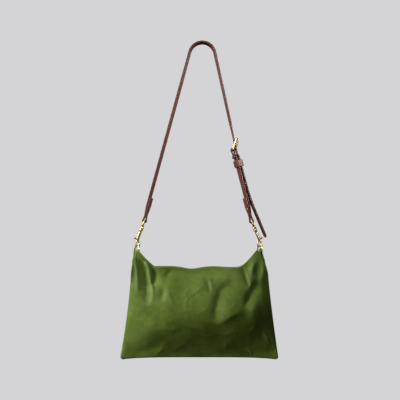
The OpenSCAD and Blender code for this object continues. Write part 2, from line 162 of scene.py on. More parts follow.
STRAP_W, STRAP_T, CREASE_Y = 18, 3, 6.8
CROWN_R, FOLD_LEN, BUCKLE_FOLD, TAIL_LEN = 24.5, 46, 16, 176
HOLE_PITCH, HOLE_D, IN_USE_S, SLOT_LEN, PRONG_SLOT_W = 25, 3.6, -3, 7, 4.8
HEEL = (58.5, -203)
HEEL_BAR_R = 1.5
KEEPER_H, KEEPER_T, KEEPER_DROP = 13, 2, 27.5
HANG, LEFT_RING_X, RIGHT_RING_X = 386, 123, 110
LEFT_LEAN, RIGHT_LEAN = math.radians(21), math.radians(24)
BOW_R, BOW_WIRE, SNAP_LEN, BOW_DX = 4.6, 1.4, 46, 3
RING_WIRE, RING_HALF, RING_TALL, RING_TURN = 1.3, 8.7, 13, math.radians(25)
RING_BAR = -HANG + BOW_WIRE + RING_WIRE + 0.8 - RING_TALL
MOUTH, BOTTOM, DROOP, EAR_RISE, TOP_W = 424, 596, 4, 35, 256.5
BELLY, CANVAS_T, LINING_T, GAPE = 27, 1.4, 0.8, 7
LAYER_N = STRAP_T / 2 + 0.1
WRAP_R = HEEL_BAR_R + STRAP_T / 2 + 0.1
CLOSE_S = 8
OUTER_N = LAYER_N + STRAP_T + 1.7
ARM_Y = STRAP_W / 2 + 0.6 + HEEL_BAR_R
CROWN_C = (0.5, STRAP_T / 2 - CROWN_R)


def eye_out(ring_x, lean):
    """Eye bar of a snap, as outward x and z."""
    bow_z = BOW_R - HANG
    return (ring_x + BOW_DX * math.cos(lean) - SNAP_LEN * math.sin(lean),
            bow_z + BOW_DX * math.sin(lean) + SNAP_LEN * math.cos(lean))


LEFT_EYE = eye_out(LEFT_RING_X, LEFT_LEAN)
RIGHT_EYE = eye_out(RIGHT_RING_X, RIGHT_LEAN)


def leg_angle(x, z, n):
    drop = CROWN_C[1] - z
    return math.atan2(x, drop) - math.asin((CROWN_R - n) / math.hypot(x, drop))


LEFT_ANGLE = leg_angle(LEFT_EYE[0] + CROWN_C[0], LEFT_EYE[1], LAYER_N)
RIGHT_ANGLE = leg_angle(HEEL[0] - CROWN_C[0], HEEL[1], OUTER_N)
SHORT_ANGLE = math.atan2(RIGHT_EYE[0] - HEEL[0], HEEL[1] - RIGHT_EYE[1])
SHORT_LEN = math.hypot(RIGHT_EYE[0] - HEEL[0], HEEL[1] - RIGHT_EYE[1])


def place(points, origin, angle, side=1):
    """Points in a leaning frame (x outward, y, z up) to the bag's own frame, in millimetres."""
    p = np.asarray(points, float)
    c, s = math.cos(angle), math.sin(angle)
    return np.stack([side * (origin[0] + p[..., 0] * c - p[..., 2] * s), p[..., 1],
                     origin[1] + p[..., 0] * s + p[..., 2] * c], -1)


# ---- Mesh making ----


def keep_mesh(name, points, faces, uv=None, marks=None):
    """A piece at the origin from points in millimetres, with uv per point in metres and float marks."""
    mesh = bpy.data.meshes.new(name)
    mesh.from_pydata((np.asarray(points, float).reshape(-1, 3) * MM).tolist(), [], faces)
    corners = np.zeros(len(mesh.loops), np.int32)
    mesh.loops.foreach_get("vertex_index", corners)
    if uv is not None:
        layer = mesh.uv_layers.new(name="cloth")
        flat = np.asarray(uv, np.float32).reshape(-1, 2)[corners]
        layer.data.foreach_set("uv", flat.ravel())
    for mark, values in (marks or {}).items():
        attribute = mesh.attributes.new(mark, "FLOAT", "POINT")
        attribute.data.foreach_set("value", np.asarray(values, np.float32).ravel())
    mesh.polygons.foreach_set("use_smooth", np.ones(len(mesh.polygons), bool))
    mesh.update()
    piece = bpy.data.objects.new(name, mesh)
    bpy.context.scene.collection.objects.link(piece)
    return piece


def grid_faces(rows, columns, start=0, closed=False):
    faces = []
    last = columns if closed else columns - 1
    for j in range(rows - 1):
        for i in range(last):
            k = (i + 1) % columns
            a, b = start + j * columns, start + (j + 1) * columns
            faces.append((a + i, a + k, b + k, b + i))
    return faces


def rim_loop(rows, columns):
    """Grid points round the border, in order."""
    top = [(0, i) for i in range(columns)]
    right = [(j, columns - 1) for j in range(1, rows)]
    back = [(rows - 1, i) for i in range(columns - 2, -1, -1)]
    left = [(j, 0) for j in range(rows - 2, 0, -1)]
    return [j * columns + i for j, i in top + right + back + left]


def shell(name, outer, inner, uv, marks, bulge):
    """A closed sheet between two grids of points, its rim rounded outwards by bulge."""
    rows, columns = outer.shape[:2]
    n = rows * columns
    flat_outer, flat_inner = outer.reshape(-1, 3), inner.reshape(-1, 3)
    border = rim_loop(rows, columns)
    middle = (flat_outer[border] + flat_inner[border]) / 2
    along = np.roll(middle, -1, 0) - np.roll(middle, 1, 0)
    through = flat_inner[border] - flat_outer[border]
    out = np.cross(along, through)
    out /= np.maximum(np.linalg.norm(out, axis=1, keepdims=True), 1e-9)
    centre = middle.mean(0)
    out *= np.sign(((middle - centre) * out).sum(1).mean())
    rim = middle + out * bulge
    points = np.concatenate([flat_outer, flat_inner, rim])
    faces = grid_faces(rows, columns)
    faces += [tuple(reversed(f)) for f in grid_faces(rows, columns, n)]
    count = len(border)
    for i in range(count):
        k = (i + 1) % count
        a, b, r, q = border[i], border[k], 2 * n + i, 2 * n + k
        faces.append((b, a, r, q))
        faces.append((q, r, n + a, n + b))
    flat_uv = uv.reshape(-1, 2)
    all_uv = np.concatenate([flat_uv, flat_uv, flat_uv[border]])
    all_marks = {}
    for key, value in marks.items():
        v = value.ravel()
        all_marks[key] = np.concatenate([v, v, v[border]])
    return outwards(keep_mesh(name, points, faces, all_uv, all_marks))


def volume(mesh):
    """Signed volume of a closed mesh: negative when its faces point inwards."""
    mesh.calc_loop_triangles()
    corner = np.zeros(len(mesh.loop_triangles) * 3, np.int32)
    mesh.loop_triangles.foreach_get("vertices", corner)
    co = np.zeros(len(mesh.vertices) * 3)
    mesh.vertices.foreach_get("co", co)
    t = co.reshape(-1, 3)[corner].reshape(-1, 3, 3)
    return float(np.einsum("ij,ij->i", t[:, 0], np.cross(t[:, 1], t[:, 2])).sum() / 6)


def outwards(piece):
    """The closed piece, with its faces turned outwards."""
    if volume(piece.data) < 0:
        piece.data.flip_normals()
    return piece


def tube(name, sections, uv=None, marks=None):
    """A closed skin over rings of points, each ring closed, with its two ends filled."""
    rings = np.asarray(sections, float)
    rows, columns = rings.shape[:2]
    faces = grid_faces(rows, columns, closed=True)
    faces.append(tuple(range(columns - 1, -1, -1)))
    faces.append(tuple((rows - 1) * columns + i for i in range(columns)))
    return outwards(keep_mesh(name, rings, faces, uv, marks))


def unit(v):
    return v / np.maximum(np.linalg.norm(v, axis=-1, keepdims=True), 1e-12)


def round_wire(name, path, radii, sides=20):
    """Wire along a path, with a radius at each point and rounded ends."""
    p = np.asarray(path, float)
    r = np.broadcast_to(np.asarray(radii, float), len(p)).copy()
    head, tail = unit(p[1] - p[0]), unit(p[-1] - p[-2])
    caps = np.radians([12, 40, 68])
    first = [(p[0] - head * r[0] * math.cos(a), r[0] * math.sin(a)) for a in caps]
    last = [(p[-1] + tail * r[-1] * math.cos(a), r[-1] * math.sin(a)) for a in caps[::-1]]
    centres = np.array([c for c, _ in first] + list(p) + [c for c, _ in last])
    radius = np.array([s for _, s in first] + list(r) + [s for _, s in last])
    heading = unit(np.gradient(centres, axis=0))
    side = np.array([0.0, 1.0, 0.0])
    if abs(heading[0] @ side) > 0.9:
        side = np.array([1.0, 0.0, 0.0])
    rings = []
    angle = np.linspace(0, 2 * math.pi, sides, endpoint=False)
    for c, h, q in zip(centres, heading, radius):
        side = unit(side - (side @ h) * h)
        other = np.cross(h, side)
        rings.append(c + q * (np.outer(np.cos(angle), side) + np.outer(np.sin(angle), other)))
    return tube(name, rings)


def turned(name, profile, base, axis, sides=32):
    """A turned part: (distance along the axis, radius) pairs about an axis from base."""
    base, axis = np.asarray(base, float), unit(np.asarray(axis, float))
    side = np.cross(axis, [0.0, 1.0, 0.0] if abs(axis[1]) < 0.9 else [1.0, 0.0, 0.0])
    side = unit(side)
    other = np.cross(axis, side)
    angle = np.linspace(0, 2 * math.pi, sides, endpoint=False)
    ring = np.outer(np.cos(angle), side) + np.outer(np.sin(angle), other)
    return tube(name, [base + axis * h + ring * r for h, r in profile])


def join(name, parts):
    """Several closed parts as one piece."""
    points, faces, start = [], [], 0
    for part in parts:
        points += [tuple(v.co / MM) for v in part.data.vertices]
        faces += [tuple(start + i for i in p.vertices) for p in part.data.polygons]
        start = len(points)
        bpy.data.objects.remove(part)
    return keep_mesh(name, points, faces)


def wear(piece, material, body, slot, *nodes):
    """Gives a finished piece its material and body, and hides the frame solids it stands for. Its slot is
    not used.
    """
    piece.data.materials.clear()
    piece.data.materials.append(material)
    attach(piece, body)
    if nodes:
        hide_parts(*nodes)
    return piece


# ---- Materials ----


def new_material(name):
    """An empty node material, with its tree and the piece's own coordinates."""
    material = bpy.data.materials.new(name)
    material.use_nodes = True
    tree = material.node_tree
    tree.nodes.clear()
    return material, tree, add(tree, "ShaderNodeTexCoord").outputs["Object"]


def cloth_map(tree):
    return add(tree, "ShaderNodeUVMap", uv_map="cloth").outputs[0]


def noise(tree, vector, scale, detail, **more):
    inputs = {"Vector": vector, "Scale": scale, "Detail": detail, **more}
    return add(tree, "ShaderNodeTexNoise", inputs).outputs[0]


def ribs(tree, vector, pitch, distortion, more=None, direction="X"):
    """Even ridges at a pitch in metres."""
    inputs = {"Vector": vector, "Scale": 2 * math.pi / (20 * pitch), "Distortion": distortion}
    return add(tree, "ShaderNodeTexWave", {**inputs, **(more or {})},
               bands_direction=direction).outputs["Fac"]


def calc(tree, operation, *values):
    return add(tree, "ShaderNodeMath", dict(enumerate(values)), operation=operation).outputs[0]


def blend(tree, factor, first, second, **settings):
    """Mixes two colours: the first at factor 0, the second at 1."""
    inputs = {"Factor": factor, 6: first, 7: second}
    return add(tree, "ShaderNodeMix", inputs, data_type="RGBA", **settings).outputs[2]


def ranged(tree, value, low=0.0, high=1.0, start=0.0, end=1.0):
    """The stretch of a value from start to end, spread from low to high."""
    inputs = {"Value": value, "From Min": start, "From Max": end, "To Min": low, "To Max": high}
    return add(tree, "ShaderNodeMapRange", inputs).outputs[0]


def bump(tree, height, strength, distance, **more):
    inputs = {"Height": height, "Strength": strength, "Distance": distance, **more}
    return add(tree, "ShaderNodeBump", inputs).outputs[0]


def finish_material(tree, shader_inputs, relief_normal):
    shader = add(tree, "ShaderNodeBsdfPrincipled", shader_inputs)
    tree.links.new(relief_normal, shader.inputs["Normal"])
    add(tree, "ShaderNodeOutputMaterial", {"Surface": shader.outputs[0]})


def waxed_canvas(name, dark, middle, pale, chalk):
    """Waxed cotton duck, plain-woven and hot-waxed: a dull cloth with a low waxy sheen, cloudy
    where the wax is thicker, and chalky pale where it has cracked along folds."""
    material, tree, place_at = new_material(name)
    cloth = cloth_map(tree)
    # Wax clouds about 45 mm across, with blotches of about 9 mm in them.
    clouds = noise(tree, place_at, 22, 5, Roughness=0.55, Distortion=0.4)
    blotches = noise(tree, place_at, 115, 3, Roughness=0.6)
    mixed = calc(tree, "MULTIPLY_ADD", blotches, 0.45, clouds)
    wax = add(tree, "ShaderNodeValToRGB", {"Fac": mixed})
    wax.color_ramp.elements[0].position = 0.45
    wax.color_ramp.elements[0].color = linear(dark)
    wax.color_ramp.elements[1].position = 0.98
    wax.color_ramp.elements[1].color = linear(pale)
    wax.color_ramp.elements.new(0.7).color = linear(middle)
    # Threads lie 0.55 mm apart; drawn at 1.1 mm so that the weave shows in a close view.
    thread_pitch = 0.0011
    warp = ribs(tree, cloth, thread_pitch, 0.6, {"Detail": 1})
    weft = ribs(tree, cloth, thread_pitch, 0.6, {"Detail": 1}, "Y")
    weave = calc(tree, "MULTIPLY", warp, weft)
    woven = blend(tree, weave, linear("D2D2D2"), linear("FFFFFF"))
    tinted = blend(tree, 0.6, wax.outputs[0], woven, blend_type="MULTIPLY")
    # Cracked wax along the folds, broken up by a 3 mm grain.
    crease = add(tree, "ShaderNodeAttribute", attribute_name="crease").outputs["Fac"]
    worn = calc(tree, "MULTIPLY", crease, noise(tree, place_at, 330, 2))
    fine = bump(tree, weave, 0.35, 0.0003)
    rumple = noise(tree, place_at, 90, 4, Roughness=0.65, Distortion=0.8)
    finish_material(tree, {
        "Base Color": blend(tree, worn, tinted, linear(chalk)),
        "Roughness": ranged(tree, mixed, 0.5, 0.72, 0.4, 1.0),
        "IOR": 1.46, "Specular IOR Level": 0.32, "Sheen Weight": 0.08, "Sheen Roughness": 0.45},
        bump(tree, rumple, 0.35, 0.0022, Normal=fine))
    return material


def bridle_leather(name, face, deep, edge_colour):
    """Vegetable-tanned bridle leather, drum-dyed and waxed: warm, fine-grained and half glossy on
    its faces, with cut edges burnished almost black."""
    material, tree, place_at = new_material(name)
    cloudy = noise(tree, place_at, 60, 4, Roughness=0.6)
    dye = blend(tree, cloudy, linear(deep), linear(face))
    # Grain cells about 0.9 mm across.
    cells = add(tree, "ShaderNodeTexVoronoi", {"Vector": place_at, "Scale": 1100},
                feature="DISTANCE_TO_EDGE").outputs[0]
    grained = blend(tree, ranged(tree, cells, low=0.88, end=0.2), linear(deep), dye)
    # A creased line 2.2 mm in from each edge, 0.7 mm wide. The strap's own map gives the distance.
    strip = add(tree, "ShaderNodeSeparateXYZ", {0: cloth_map(tree)})
    crease = calc(tree, "COMPARE", calc(tree, "ABSOLUTE", strip.outputs[1]), CREASE_Y * MM, 0.00035)
    rim = add(tree, "ShaderNodeAttribute", attribute_name="edge").outputs["Fac"]
    darkened = calc(tree, "MAXIMUM", rim, calc(tree, "MULTIPLY", crease, 0.45))
    pressed = calc(tree, "MULTIPLY_ADD", crease, -0.6, cells)
    finish_material(tree, {
        "Base Color": blend(tree, darkened, grained, linear(edge_colour)),
        "Roughness": ranged(tree, cloudy, 0.42, 0.58),
        "IOR": 1.5, "Coat Weight": 0.06, "Coat Roughness": 0.35}, bump(tree, pressed, 0.12, 0.0003))
    return material


def polished_metal(name, clean, dull, smooth_at, rough_at):
    """Cast and tumbled metal, hand-polished: bright, with a faint haze of tarnish and wipe marks."""
    material, tree, place_at = new_material(name)
    tarnish = noise(tree, place_at, 260, 4, Roughness=0.6)
    haze = ranged(tree, tarnish, start=0.4, end=0.75)
    # Wipe marks about 0.4 mm apart, running along the part.
    drawn = add(tree, "ShaderNodeMapping", {"Vector": place_at, "Scale": (1, 1, 0.08)}).outputs[0]
    finish_material(tree, {
        "Base Color": blend(tree, haze, linear(clean), linear(dull)), "Metallic": 1.0,
        "Roughness": ranged(tree, haze, smooth_at, rough_at)},
        bump(tree, noise(tree, drawn, 2500, 2), 0.06, 0.0001))
    return material


def cotton_cloth(name, light, dark, pitch, twill):
    """Undyed or piece-dyed cotton, unwaxed: a dry matt cloth whose threads show as fine ribs."""
    material, tree, place_at = new_material(name)
    on_the_bias = add(tree, "ShaderNodeMapping", {"Vector": cloth_map(tree), "Rotation": (0, 0, twill)})
    threads = ribs(tree, on_the_bias.outputs[0], pitch, 0.8, {"Detail": 1})
    slub = noise(tree, place_at, 140, 4)
    faded = calc(tree, "MULTIPLY_ADD", threads, 0.5, slub)
    depth = ranged(tree, faded, start=0.3, end=1.1)
    finish_material(tree, {
        "Base Color": blend(tree, depth, linear(dark), linear(light)),
        "Roughness": 0.85, "IOR": 1.45, "Sheen Weight": 0.2}, bump(tree, threads, 0.4, 0.0002))
    return material


def sewing_thread(name, light, dark):
    """Waxed polyester thread, plied: a small dull gleam, with dark lines between the plies."""
    material, tree, place_at = new_material(name)
    plies = ribs(tree, place_at, 0.0008, 1.5, direction="DIAGONAL")
    finish_material(tree, {
        "Base Color": blend(tree, plies, linear(dark), linear(light)),
        "Roughness": 0.5, "IOR": 1.5}, bump(tree, plies, 0.3, 0.0001))
    return material


canvas = waxed_canvas("waxed_cotton_canvas", "516717", "677F24", "7A903F", "9FB07C")
leather = bridle_leather("bridle_leather", "7A422C", "562A1C", "44211A")
brass = polished_metal("tumbled_brass", "E6D08E", "C6A962", 0.28, 0.45)
nickel = polished_metal("nickel_plated_steel", "C9C6BE", "9A978F", 0.2, 0.36)
lining = cotton_cloth("cotton_twill_lining", "A39C7C", "7C7658", 0.0014, math.radians(45))
tape = cotton_cloth("cotton_seam_tape", "5A5432", "38331C", 0.0010, 0.0)
thread = sewing_thread("waxed_thread", "6E7A3C", "3A431C")

# ---- The bag: u runs from the left seam to the right, v from the bottom to the mouth ----

BAG_X = (RIGHT_RING_X - LEFT_RING_X) / 2 + 1.25
MAGNET_X = -20
# Where an ear starts, how it curves up, and where its front and back peak: (left, right).
EAR_FROM, EAR_POWER = (0.676, 0.61), (1.1, 1.4)
FRONT_PEAK, BACK_PEAK = (0.92, 0.88), (0.985, 0.95)
FRONT_LOWER = 3
CORNER_ROUND = 5
PANEL_COLUMNS, PANEL_ROWS = 246, 136
# How far each side spreads towards the bottom, and is drawn in at the mouth: (left, right).
FLARE, FLARE_POWER, DRAWN_IN = 22, (1.6, 1.25), (2, 4.5)
# Half the width and the height of a panel in its own cloth map, in metres.
CLOTH_HALF_W, CLOTH_TALL = 0.14, 0.17


def smooth(t):
    c = np.clip(t, 0, 1)
    return c * c * (3 - 2 * c)


def bag_x(u, v):
    flare = FLARE * (1 - v) ** np.where(u < 0, *FLARE_POWER)
    drawn_in = np.where(u < 0, *DRAWN_IN) * smooth((v - 0.85) / 0.15)
    return BAG_X + u * (TOP_W / 2 + flare - drawn_in)


def ear(u, peak):
    a = np.abs(u)
    top = np.where(u < 0, *peak)
    start, power = np.where(u < 0, *EAR_FROM), np.where(u < 0, *EAR_POWER)
    climb = np.maximum((a - start) / (top - start), 0) ** power
    return np.where(a < top, climb, 1 - 0.6 * (a - top) / (1.001 - top))


def bag_z(u, v, side):
    x = bag_x(u, np.ones_like(u))
    dip = 4.5 * np.exp(-((x - MAGNET_X) / 20) ** 2) + 2 * np.exp(-((x - 55) / 22) ** 2)
    rise = EAR_RISE - FRONT_LOWER if side < 0 else EAR_RISE
    top = -MOUTH - dip + rise * ear(u, FRONT_PEAK if side < 0 else BACK_PEAK)
    low = -BOTTOM - DROOP * np.abs(u) ** 4
    return low + (top - low) * v


def half_depth(u, v):
    a = np.abs(u)
    body = BELLY * np.maximum(1 - a ** 2.6, 0) ** 0.8 * np.maximum(np.sin(math.pi * v ** 0.95), 0) ** 1.5
    mouth = (3 + GAPE * np.sin(math.pi * a) ** 2) * v ** 4 * (1 - smooth((a - 0.8) / 0.2))
    ears = 9.5 * smooth((a - 0.72) / 0.26) * smooth((v - 0.74) / 0.24)
    return 0.6 + body + mouth + ears


# A fold: its line as (x, z, height), the width of its slope on the right hand going along the
# line, the width on the left hand, and how sharp its crest is (2 soft, 1.2 crisp).
FRONT_FOLDS = [
    # The deep pleat under the left ear, and the overlapping roll beside it.
    ([(-129, -404, 1), (-125, -428, 3.6), (-123, -456, 3.6), (-124, -486, 0)], 6, 5, 1.9),
    ([(-120, -404, 0), (-109, -428, -7), (-104.5, -456, -8.5), (-103, -476, -6), (-102, -498, 0)],
     8.5, 5, 1.9),
    ([(-112, -402, 0), (-101.5, -426, 5), (-98, -446, 4.6), (-94, -462, 2.8), (-91, -488, 0)], 6, 3, 1.8),
    ([(-97.5, -420, -3), (-94, -436, -7), (-94.5, -450, -5), (-93, -460, 0)], 2, 9, 1.7),
    ([(-73, -457, 0), (-74, -476, -3.2), (-77, -496, 0)], 8, 4.5, 2),
    ([(-69, -455, 0), (-59, -486, 1.3), (-47, -514, 0)], 7, 5, 1.6),
    ([(-46, -414, 0), (-62, -434, -2.6), (-74, -458, 0)], 8, 8, 2),
    # The small wedge and the valley in the middle.
    ([(8, -442, 0), (12, -458, -2.4), (16, -476, 0)], 7, 2.6, 1.6),
    ([(-28, -481, 0), (-7, -466.5, 1.4), (11, -448, 0)], 4, 12, 1.6),
    ([(70, -450, 0), (54, -457, -2.8), (36, -470, -4.6), (31, -487, -5.4), (26, -508, -4.6), (28, -532, 0)],
     10, 13, 1.8),
    ([(26, -533, 0), (54, -515, 3), (84, -500, 0)], 7, 16, 1.7),
    # The right ear: its flap, small valley and roll.
    ([(72, -420, 0), (81, -438, -3.6), (86, -455, -4), (91, -468, 0)], 5.5, 2.6, 1.6),
    ([(104, -395, 0), (94, -428, 3.6), (93, -462, 1)], 7, 9, 2),
    ([(106, -410, 0), (102, -434, -3.4), (107, -452, 0)], 5, 4, 1.9),
    ([(112, -408, 0), (115, -436, 2.6), (112, -456, 0)], 4, 5, 2),
    ([(107, -444, 0), (96.5, -463, -6.5), (88, -480, -7), (80, -505, 0)], 5.5, 15, 1.7),
    ([(95, -470, 0), (97, -500, 4.5), (103, -548, 0)], 12, 13, 2),
    # The bottom corners.
    ([(-66, -550, 0), (-86, -572, -0.7), (-102, -588, 0)], 12, 10, 2),
    ([(-70, -574, 0), (-80, -584, 1.2), (-93, -594, 0)], 5, 3, 1.3),
    ([(84, -576, 0), (92, -586, 0.9), (96, -594, 0)], 3, 3, 1.3),
    ([(114, -540, 0), (123, -560, 1.4), (130, -578, 0)], 4, 3, 1.3),
    # Faint cracks in the wax across the middle.
    ([(-30, -502, 0), (-31, -488, 0.7), (-20, -474, 0)], 3, 4, 1.3),
    ([(-20, -515, 0), (-2, -508, 0.7), (14, -498, 0)], 3, 5, 1.3),
    ([(-84, -535, 0), (-55, -541, 0.7), (-36, -538, 0)], 4, 6, 1.4),
    ([(-10, -545, 0), (8, -553, 0.7), (34, -549, 0)], 4, 6, 1.4),
    ([(40, -560, 0), (46, -572, 0.7), (42, -588, 0)], 4, 4, 1.4),
]
BACK_FOLDS = [
    ([(-122, -404, 0), (-108, -430, -6), (-100, -462, -6), (-96, -494, 0)], 9, 6, 1.8),
    ([(-108, -404, 0), (-97, -432, 4), (-91, -466, 0)], 6, 5, 1.8),
    ([(113, -404, 0), (103, -432, -6), (92, -470, -5), (88, -498, 0)], 6, 9, 1.8),
    ([(100, -412, 0), (92, -440, 3.6), (84, -474, 0)], 4, 7, 1.8),
    ([(-70, -424, 0), (-52, -462, -3.6), (-24, -500, -2), (-10, -524, 0)], 11, 8, 1.8),
    ([(62, -430, 0), (40, -466, 3), (30, -502, 0)], 8, 12, 1.8),
    ([(14, -436, 0), (4, -470, -2.2), (8, -510, 0)], 8, 7, 2),
    ([(-96, -520, 0), (-70, -548, 2.2), (-40, -560, 0)], 6, 9, 1.6),
    ([(108, -520, 0), (84, -556, -2.6), (60, -578, 0)], 9, 8, 1.8),
]


def fold_height(x, z, folds):
    total = np.zeros_like(x)
    for line, right_hand, left_hand, power in folds:
        nearest = np.full_like(x, 1e9)
        height = np.zeros_like(x)
        for (x0, z0, h0), (x1, z1, h1) in zip(line[:-1], line[1:]):
            dx, dz = x1 - x0, z1 - z0
            t = np.clip(((x - x0) * dx + (z - z0) * dz) / (dx * dx + dz * dz), 0, 1)
            px, pz = x - x0 - t * dx, z - z0 - t * dz
            away = np.hypot(px, pz)
            wide = np.where(px * dz - pz * dx > 0, right_hand, left_hand)
            here = (h0 + (h1 - h0) * smooth(t)) * np.exp(-(away / wide) ** power)
            closer = away < nearest
            nearest = np.where(closer, away, nearest)
            height = np.where(closer, here, height)
        total += height
    return total


def crumples(seed, count):
    """Short crisp creases all over a panel, as waxed cloth keeps them."""
    draw = np.random.default_rng(seed)
    folds = []
    for _ in range(count):
        x, z = draw.uniform(-125, 115), draw.uniform(-585, -440)
        turn = draw.uniform(0, math.pi)
        reach = draw.uniform(8, 26)
        bend = draw.uniform(-0.5, 0.5)
        line = []
        for k, share in enumerate((-1, -0.3, 0.4, 1)):
            a = turn + bend * share
            lift = draw.uniform(0.2, 0.5) * (1 if draw.uniform() < 0.6 else -1)
            line.append((x + math.cos(a) * reach * share, z + math.sin(a) * reach * share,
                         lift if k in (1, 2) else 0))
        folds.append((line, draw.uniform(1.6, 3), draw.uniform(3, 7), 1.2))
    return folds


def billow(x, z, seed, size):
    """Slow uneven swell of the cloth."""
    draw = np.random.default_rng(seed)
    total = np.zeros_like(x)
    for _ in range(9):
        turn, phase = draw.uniform(0, 2 * math.pi, 2)
        wave = draw.uniform(38, 95)
        total += np.sin((x * math.cos(turn) + z * math.sin(turn)) * 2 * math.pi / wave + phase)
    return total / 9 * size


def relief(u, v, side):
    """How far the cloth stands out from the plain lofted shape."""
    x, z = bag_x(u, v), bag_z(u, v, side)
    folds = FRONT_FOLDS if side < 0 else BACK_FOLDS
    big = fold_height(x, z, folds) + billow(x, z, 11 if side < 0 else 12, 2.4)
    small = fold_height(x, z, crumples(21 if side < 0 else 22, 30))
    settled = smooth((1 - np.abs(u)) / 0.07) * smooth(v / 0.08)
    calm_mouth = 1 - 0.55 * smooth((v - 0.9) / 0.1)
    return (big + small) * settled * calm_mouth


def surface(u, v, side, out):
    """Points at a distance out from the panel's inner face, with the bottom corners rounded."""
    x, z = bag_x(u, v), bag_z(u, v, side)
    up = np.clip((z - bag_z(u, np.zeros_like(v), side)) / CORNER_ROUND, 0, 1)
    tuck = CORNER_ROUND * (1 - np.sqrt(1 - (1 - up) ** 2)) * np.abs(u) ** 8
    return np.stack([x - np.sign(u) * tuck, side * (half_depth(u, v) + out), z], -1)


def panel_points(us, vs, side, depth, height):
    """Grid of points at a depth below the panel's outer face."""
    u, v = np.meshgrid(us, vs)
    return surface(u, v, side, CANVAS_T - depth + height)


def cloth_uv(us, vs):
    u, v = np.meshgrid(us, vs)
    return np.stack([u * CLOTH_HALF_W, v * CLOTH_TALL], -1)


def soften(height, times):
    """A height grid with its sharp folds eased, for the hidden side of a sheet."""
    h = height.copy()
    for _ in range(times):
        padded = np.pad(h, 1, mode="edge")
        h = (padded[:-2, 1:-1] + padded[2:, 1:-1] + padded[1:-1, :-2] + padded[1:-1, 2:] + 4 * h) / 8
    return h


def fold_marks(height):
    """Where the cloth is bent outwards most, from 0 to 1."""
    padded = np.pad(height, 1, mode="edge")
    bend = 4 * height - padded[:-2, 1:-1] - padded[2:, 1:-1] - padded[1:-1, :-2] - padded[1:-1, 2:]
    return np.clip(soften(bend, 2) * 1.6, 0, 0.5)


def make_panel(name, side):
    us = np.linspace(-1, 1, PANEL_COLUMNS)
    vs = np.linspace(0, 1, PANEL_ROWS)
    u, v = np.meshgrid(us, vs)
    height = relief(u, v, side)
    eased = soften(height, 6)
    outer = panel_points(us, vs, side, 0, height)
    inner = panel_points(us, vs, side, CANVAS_T, np.minimum(eased, height))
    # The cloth turns in at the side and bottom seams.
    from_seam = np.minimum((1 - np.abs(u)) * TOP_W / 2, v * (BOTTOM - MOUTH))
    turn = 1 - np.sqrt(np.clip(1 - (1 - np.clip(from_seam / 2.2, 0, 1)) ** 2, 0, 1))
    outer[..., 1] -= side * turn * CANVAS_T * 0.6
    return shell(name, outer, inner, cloth_uv(us, vs), {"crease": fold_marks(height)}, 0.45)


def make_layer(name, side, us, vs, outer_depth, thick):
    """A facing, lining or pocket that follows the panel in front of it."""
    u, v = np.meshgrid(us, vs)
    eased = soften(relief(u, v, side), 4)
    eased = np.minimum(eased, relief(u, v, side))
    outer = panel_points(us, vs, side, outer_depth, eased)
    inner = panel_points(us, vs, side, outer_depth + thick, eased)
    return shell(name, outer, inner, cloth_uv(us, vs), {"crease": np.zeros_like(eased)}, thick * 0.35)


FACING_US, FACING_VS = np.linspace(-0.66, 0.66, 80), np.linspace(0.86, 0.992, 12)
LINING_US, LINING_VS = np.linspace(-0.88, 0.88, 90), np.linspace(0.06, 0.85, 56)
POCKET_US, POCKET_VS = np.linspace(-0.45, 0.4, 50), np.linspace(0.4, 0.78, 26)

wear(make_panel("front_canvas", -1), canvas, "bag", "canvas", "front_panel")
wear(make_panel("back_canvas", 1), canvas, "bag", "canvas", "back_panel")
for label, side in (("front", -1), ("back", 1)):
    wear(make_layer(f"{label}_mouth_facing", side, FACING_US, FACING_VS, CANVAS_T + 0.3, 1.0),
         canvas, "bag", "canvas", f"{label}_facing")
    wear(make_layer(f"{label}_twill_lining", side, LINING_US, LINING_VS, CANVAS_T + 0.6, LINING_T),
         lining, "bag", "lining", f"{label}_lining")
wear(make_layer("lining_pocket", 1, POCKET_US, POCKET_VS, CANVAS_T + 0.9 + LINING_T, LINING_T),
     lining, "bag", "lining", "slip_pocket")

# ---- The strap ----

# The whole strap hangs a little turned about its own line, near edge outwards, so that a sliver
# of its inner face shows all along.
LEFT_ROLL, CROWN_ROLL, RIGHT_ROLL = math.radians(-11.5), math.radians(-10), math.radians(-8)
DOUBLE_ROLL, END_ROLL = math.radians(-17), math.radians(-9)
ROLL_N = 2.3
# The tail's bend away from the short strap: where it starts and ends, and its final lean.
TAIL_FREE_S, TAIL_SET_S, TAIL_LEAN = 70, 105, 0.14


def ramp(value, a, b):
    return float(smooth(np.array((value - a) / (b - a))))


def half_turn(radius, s0, down):
    t = np.radians(np.arange(0, 181, 12))
    return [(-radius * math.cos(a), s0 + down * radius * math.sin(a)) for a in t]


def tail_n(s):
    """How far out the tail hangs at s: it lies on the short strap, then bends away from it."""
    if s < TAIL_FREE_S:
        return OUTER_N
    bend = TAIL_SET_S - TAIL_FREE_S
    if s < TAIL_SET_S:
        return OUTER_N + TAIL_LEAN * (s - TAIL_FREE_S) ** 2 / (2 * bend)
    return OUTER_N + TAIL_LEAN * (bend / 2 + s - TAIL_SET_S)


def rolled(points, pivot, out, down, angle):
    """Points turned about the direction down through the pivot, the near edge moving inwards."""
    p = np.array(points, float)
    flat = p[:, [0, 2]] - pivot
    n, t, y = flat @ out, flat @ down, p[:, 1].copy()
    c, k = math.cos(angle), math.sin(angle)
    p[:, 1] = -n * k + y * c
    p[:, [0, 2]] = pivot + (n * c + y * k)[:, None] * out + t[:, None] * down
    return p


